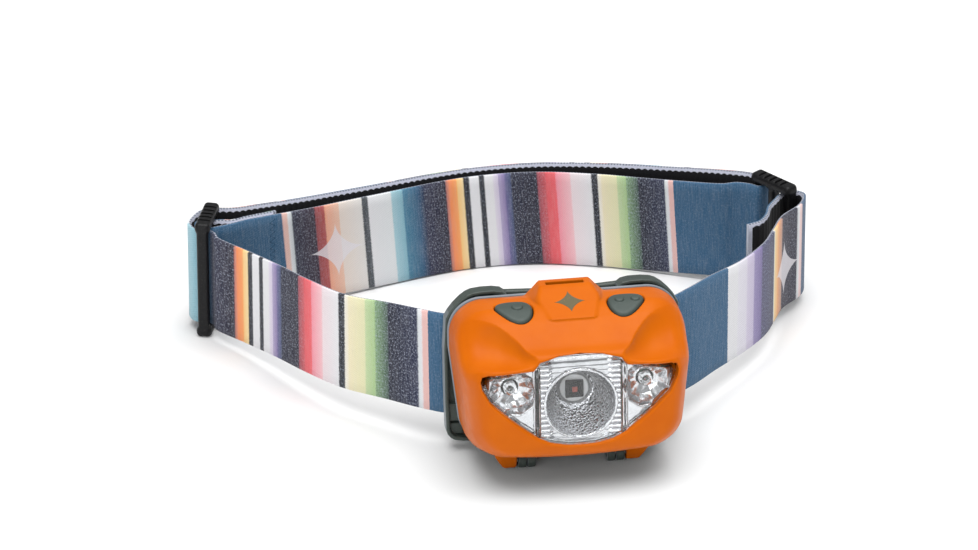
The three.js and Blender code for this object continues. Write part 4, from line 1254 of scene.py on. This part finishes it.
def strap_section():
    """The webbing's outline: offset, height and finish. Print, top edge, back, bottom edge."""
    thick, edge, corner = STRAP_HALF_THICKNESS, 0.16, 0.06
    rise = (STRAP_WIDTH - 2 * edge) / FACE_ROWS
    near, top = thick * 0.72, STRAP_WIDTH
    rows = [(thick, edge + rise * i, PRINTED) for i in range(FACE_ROWS + 1)]
    rows += [(near, top - corner, PRINTED), (0, top, PRINTED), (-near, top - corner, EDGE)]
    rows += [(-thick, top - edge - rise * i, INNER) for i in range(FACE_ROWS + 1)]
    rows += [(-near, corner, EDGE), (0, 0, PRINTED), (near, corner, PRINTED)]
    return rows


def strap_frames(path):
    """The webbing's outward and upward directions. Near the lamp it leans back with the head."""
    lamp_y, lean_start, lean_fade = 12, 30, 22
    ahead = np.gradient(path, axis=0)
    ahead[:, 2] = 0
    ahead /= np.linalg.norm(ahead, axis=1, keepdims=True)
    out = np.stack([-ahead[:, 1], ahead[:, 0], np.zeros(len(path))], 1)
    away = np.hypot(path[:, 0], path[:, 1] - lamp_y)
    t = np.clip((away - lean_start) / lean_fade, 0, 1)
    lean = HEAD_PITCH * (1 - t * t * (3 - 2 * t))
    up = np.stack([np.zeros(len(path)), np.sin(lean), np.cos(lean)], 1)
    return out, up


def strap_points(path, run, out, up):
    """The outline at each step of the path, with shallow scallops in the inner face."""
    scallops = 0.07 * np.abs(np.sin(math.pi * run / SCALLOP)) - 0.04
    columns = []
    for offset, height, finish in strap_section():
        outward = offset + scallops * (finish == INNER)
        columns.append(path + up * height + out * outward[:, None])
    return np.stack(columns, 1).reshape(-1, 3)


def strap_finishes(run):
    """Each face's finish: the edge has its own, and so does the hem at the end."""
    finishes = [row[2] for row in strap_section()]
    ring = [EDGE if EDGE in pair else pair[0] for pair in zip(finishes, finishes[1:] + finishes[:1])]
    hem = run[:-1] > run[-1] - HEM
    return [EDGE if in_hem else finish for in_hem in hem for finish in ring] + [EDGE, EDGE]


def make_strap():
    path, run = smooth_path(strap_route(), 0.4)
    out, up = strap_frames(path)
    rows = strap_section()
    count = len(rows)
    points = strap_points(path, run, out, up)
    faces = [face[:1] + face[:0:-1] for face in ring_faces(len(path), count, False)]
    faces += [tuple(range(count)), tuple(range((len(path) - 1) * count, len(path) * count))[::-1]]
    piece = mesh_piece("webbing", points, faces, PLAN, BAND_BODY, PRINT)
    piece.data.materials.append(SELVAGE_YARN)
    piece.data.materials.append(BACK)
    piece.data.polygons.foreach_set("material_index", strap_finishes(run))
    layer = piece.data.uv_layers.new(name="print")
    printed = print_place(run)
    corner = np.zeros(len(piece.data.loops), int)
    piece.data.loops.foreach_get("vertex_index", corner)
    step, height = corner // count, np.array([row[1] for row in rows])[corner % count]
    behind = np.clip((run[step] - SKEW_START) / SKEW_FADE, 0, 1)
    skew = SKEW * behind * (height - STRAP_WIDTH / 2)
    uv = np.stack([printed[step] - skew, height], 1)
    layer.data.foreach_set("uv", uv.ravel())
    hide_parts("strap")
    return path, run, out, up


SEAM_RUN = 519.6


def make_stitches(path, run, out, up):
    """A zigzag of thread across the webbing, which sews down the folded end behind it."""
    seam = int(np.argmin(np.abs(run - SEAM_RUN)))
    base, face, rise = path[seam], out[seam], up[seam]
    ahead = np.cross(rise, face)
    pitch, width, radius = 0.85, 0.55, 0.13
    count = int((STRAP_WIDTH - 2) / pitch)
    line = []
    for i in range(count + 1):
        side = width if i % 2 else -width
        for part, lift in ((-0.2, -0.1), (0, 0.06), (0.2, -0.1)):
            height = 1 + (i + part) * pitch
            line.append(base + rise * height + ahead * side + face * (STRAP_HALF_THICKNESS + lift))
    make_tube("end_stitches", np.array(line), radius, BAND_BODY, THREAD, PLAN)


def make_tube(name, line, radius, body, material, place, sides=8):
    """A round thread along a line of points, closed at both ends."""
    along = np.gradient(line, axis=0)
    along /= np.linalg.norm(along, axis=1, keepdims=True)
    across = np.cross(along, (0.3, 0.9, 0.1))
    across /= np.linalg.norm(across, axis=1, keepdims=True)
    third = np.cross(along, across)
    turns = [2 * math.pi * i / sides for i in range(sides)]
    points = np.stack([line + radius * (across * math.cos(a) + third * math.sin(a)) for a in turns], 1)
    faces = ring_faces(len(line), sides, False)
    faces += [tuple(range(sides))[::-1], tuple(range((len(line) - 1) * sides, len(line) * sides))]
    return mesh_piece(name, points.reshape(-1, 3), faces, place, body, material)


# ------------------------------------------------------------------ generic mark on the boss

def make_mark():
    """A plain four-pointed star printed on the boss's sloping face."""
    low, high = np.array(BOSS_LOW), np.array(BOSS_HIGH)
    slope = (high - low) / np.linalg.norm(high - low)
    lift = np.array((-slope[1], slope[0]))
    centre = low + (high - low) * 0.47
    size, steps, root, ink = 3.6, 48, -0.1, 0.04
    angles = [2 * math.pi * i / steps for i in range(steps)]
    ring = [(size * math.cos(a) ** 3, size * math.sin(a) ** 3) for a in angles]
    points = []
    for height in (root, ink):
        for a, b in ring:
            y, z = centre + slope * b + lift * height
            points.append((a, y, z))
    faces = [tuple(range(steps, 2 * steps)), tuple(range(steps))[::-1]]
    faces += ring_faces(2, steps, False)
    piece = mesh_piece("boss_mark", np.array(points), faces, HEAD, LAMP_BODY, INK)
    piece.data.shade_flat()


# ------------------------------------------------------------------ CAD nodes that stay

def dress_cad_nodes():
    """The inner parts keep their CAD shapes, with their own materials and slightly broken edges."""
    finishes = {
        "main_led_die": DIE, "circuit_board": BOARD, "battery_tray": TRAY_BLACK,
        "hinge_pin_left": STEEL, "hinge_pin_right": STEEL,
    }
    for side in SIDE_NAMES.values():
        finishes.update({f"board_screw_{side}": STEEL, f"push_switch_{side}": BLACK_PLASTIC,
                         f"switch_plunger_{side}": TRAY_BLACK, f"terminal_plate_{side}": STEEL,
                         f"bridge_plate_{side}": STEEL})
    for row in ("lower", "middle", "upper"):
        finishes.update({f"battery_{row}": CELL_SLEEVE, f"contact_spring_{row}": STEEL})
    for name, material in finishes.items():
        node = frame["nodes"][name]
        node.data.materials.clear()
        node.data.materials.append(material)
        weld = node.modifiers.new("weld", "WELD")
        weld.merge_threshold = 0.01 * MM
        bevel = node.modifiers.new("bevel", "BEVEL")
        bevel.width = 0.06 * MM
        bevel.segments = 2
        bevel.limit_method = "ANGLE"
        bevel.angle_limit = math.radians(40)


# ------------------------------------------------------------------ stage, light and camera

def make_stage():
    g = Graph("floor")
    cloud = g.noise(0.004, 2.0)
    g.set(Base_Color=g.mix(cloud, (246, 246, 246), (243, 243, 243)), Roughness=0.9,
          Specular_IOR_Level=0.1)
    bpy.ops.mesh.primitive_plane_add(size=12, location=(0, 2, 0))
    floor = bpy.context.object
    floor.name = "floor"
    floor.data.materials.append(g.material)


def make_light(name, place, aim, size, power):
    light = bpy.data.lights.new(name, "AREA")
    light.shape, light.size, light.size_y, light.energy = "RECTANGLE", size[0], size[1], power
    holder = bpy.data.objects.new(name, light)
    bpy.context.scene.collection.objects.link(holder)
    holder.location = place
    holder.rotation_euler = (Vector(aim) - Vector(place)).to_track_quat("-Z", "Y").to_euler()


def make_lights():
    world = bpy.data.worlds.new("studio")
    world.use_nodes = True
    background = world.node_tree.nodes["Background"].inputs
    background["Color"].default_value = (1, 1, 1, 1)
    background["Strength"].default_value = 0.35
    bpy.context.scene.world = world
    lamp = (0, -0.03, 0.02)
    make_light("top_box", (0.06, -0.14, 1.2), lamp, (1.4, 1.2), 20)
    make_light("front_box", (-0.9, -1.3, 0.5), lamp, (0.9, 1.0), 5)


def make_camera():
    """Far away with a long lens, a little to the left and well above."""
    azimuth, elevation, distance = math.radians(-9), math.radians(28), 1.8
    aim = Vector((-0.0101, -0.0179, 0.0371))
    level = math.cos(elevation)
    back = Vector((math.sin(azimuth) * level, -math.cos(azimuth) * level, math.sin(elevation)))
    camera = bpy.data.objects.new("camera", bpy.data.cameras.new("camera"))
    bpy.context.scene.collection.objects.link(camera)
    camera.location = aim + back * distance
    camera.rotation_euler = (-back).to_track_quat("-Z", "Y").to_euler()
    camera.data.sensor_width = 36
    camera.data.lens = 284.2
    camera.data.clip_start, camera.data.clip_end = 0.1, 50
    bpy.context.scene.camera = camera


make_camera()
make_stage()
make_lights()
bpy.context.scene.view_settings.view_transform = "Standard"

make_shell()
make_lens()
make_reflectors()
make_side_lights()
make_main_led()
make_buttons()
make_back()
make_sliders()
make_stitches(*make_strap())
make_mark()
dress_cad_nodes()
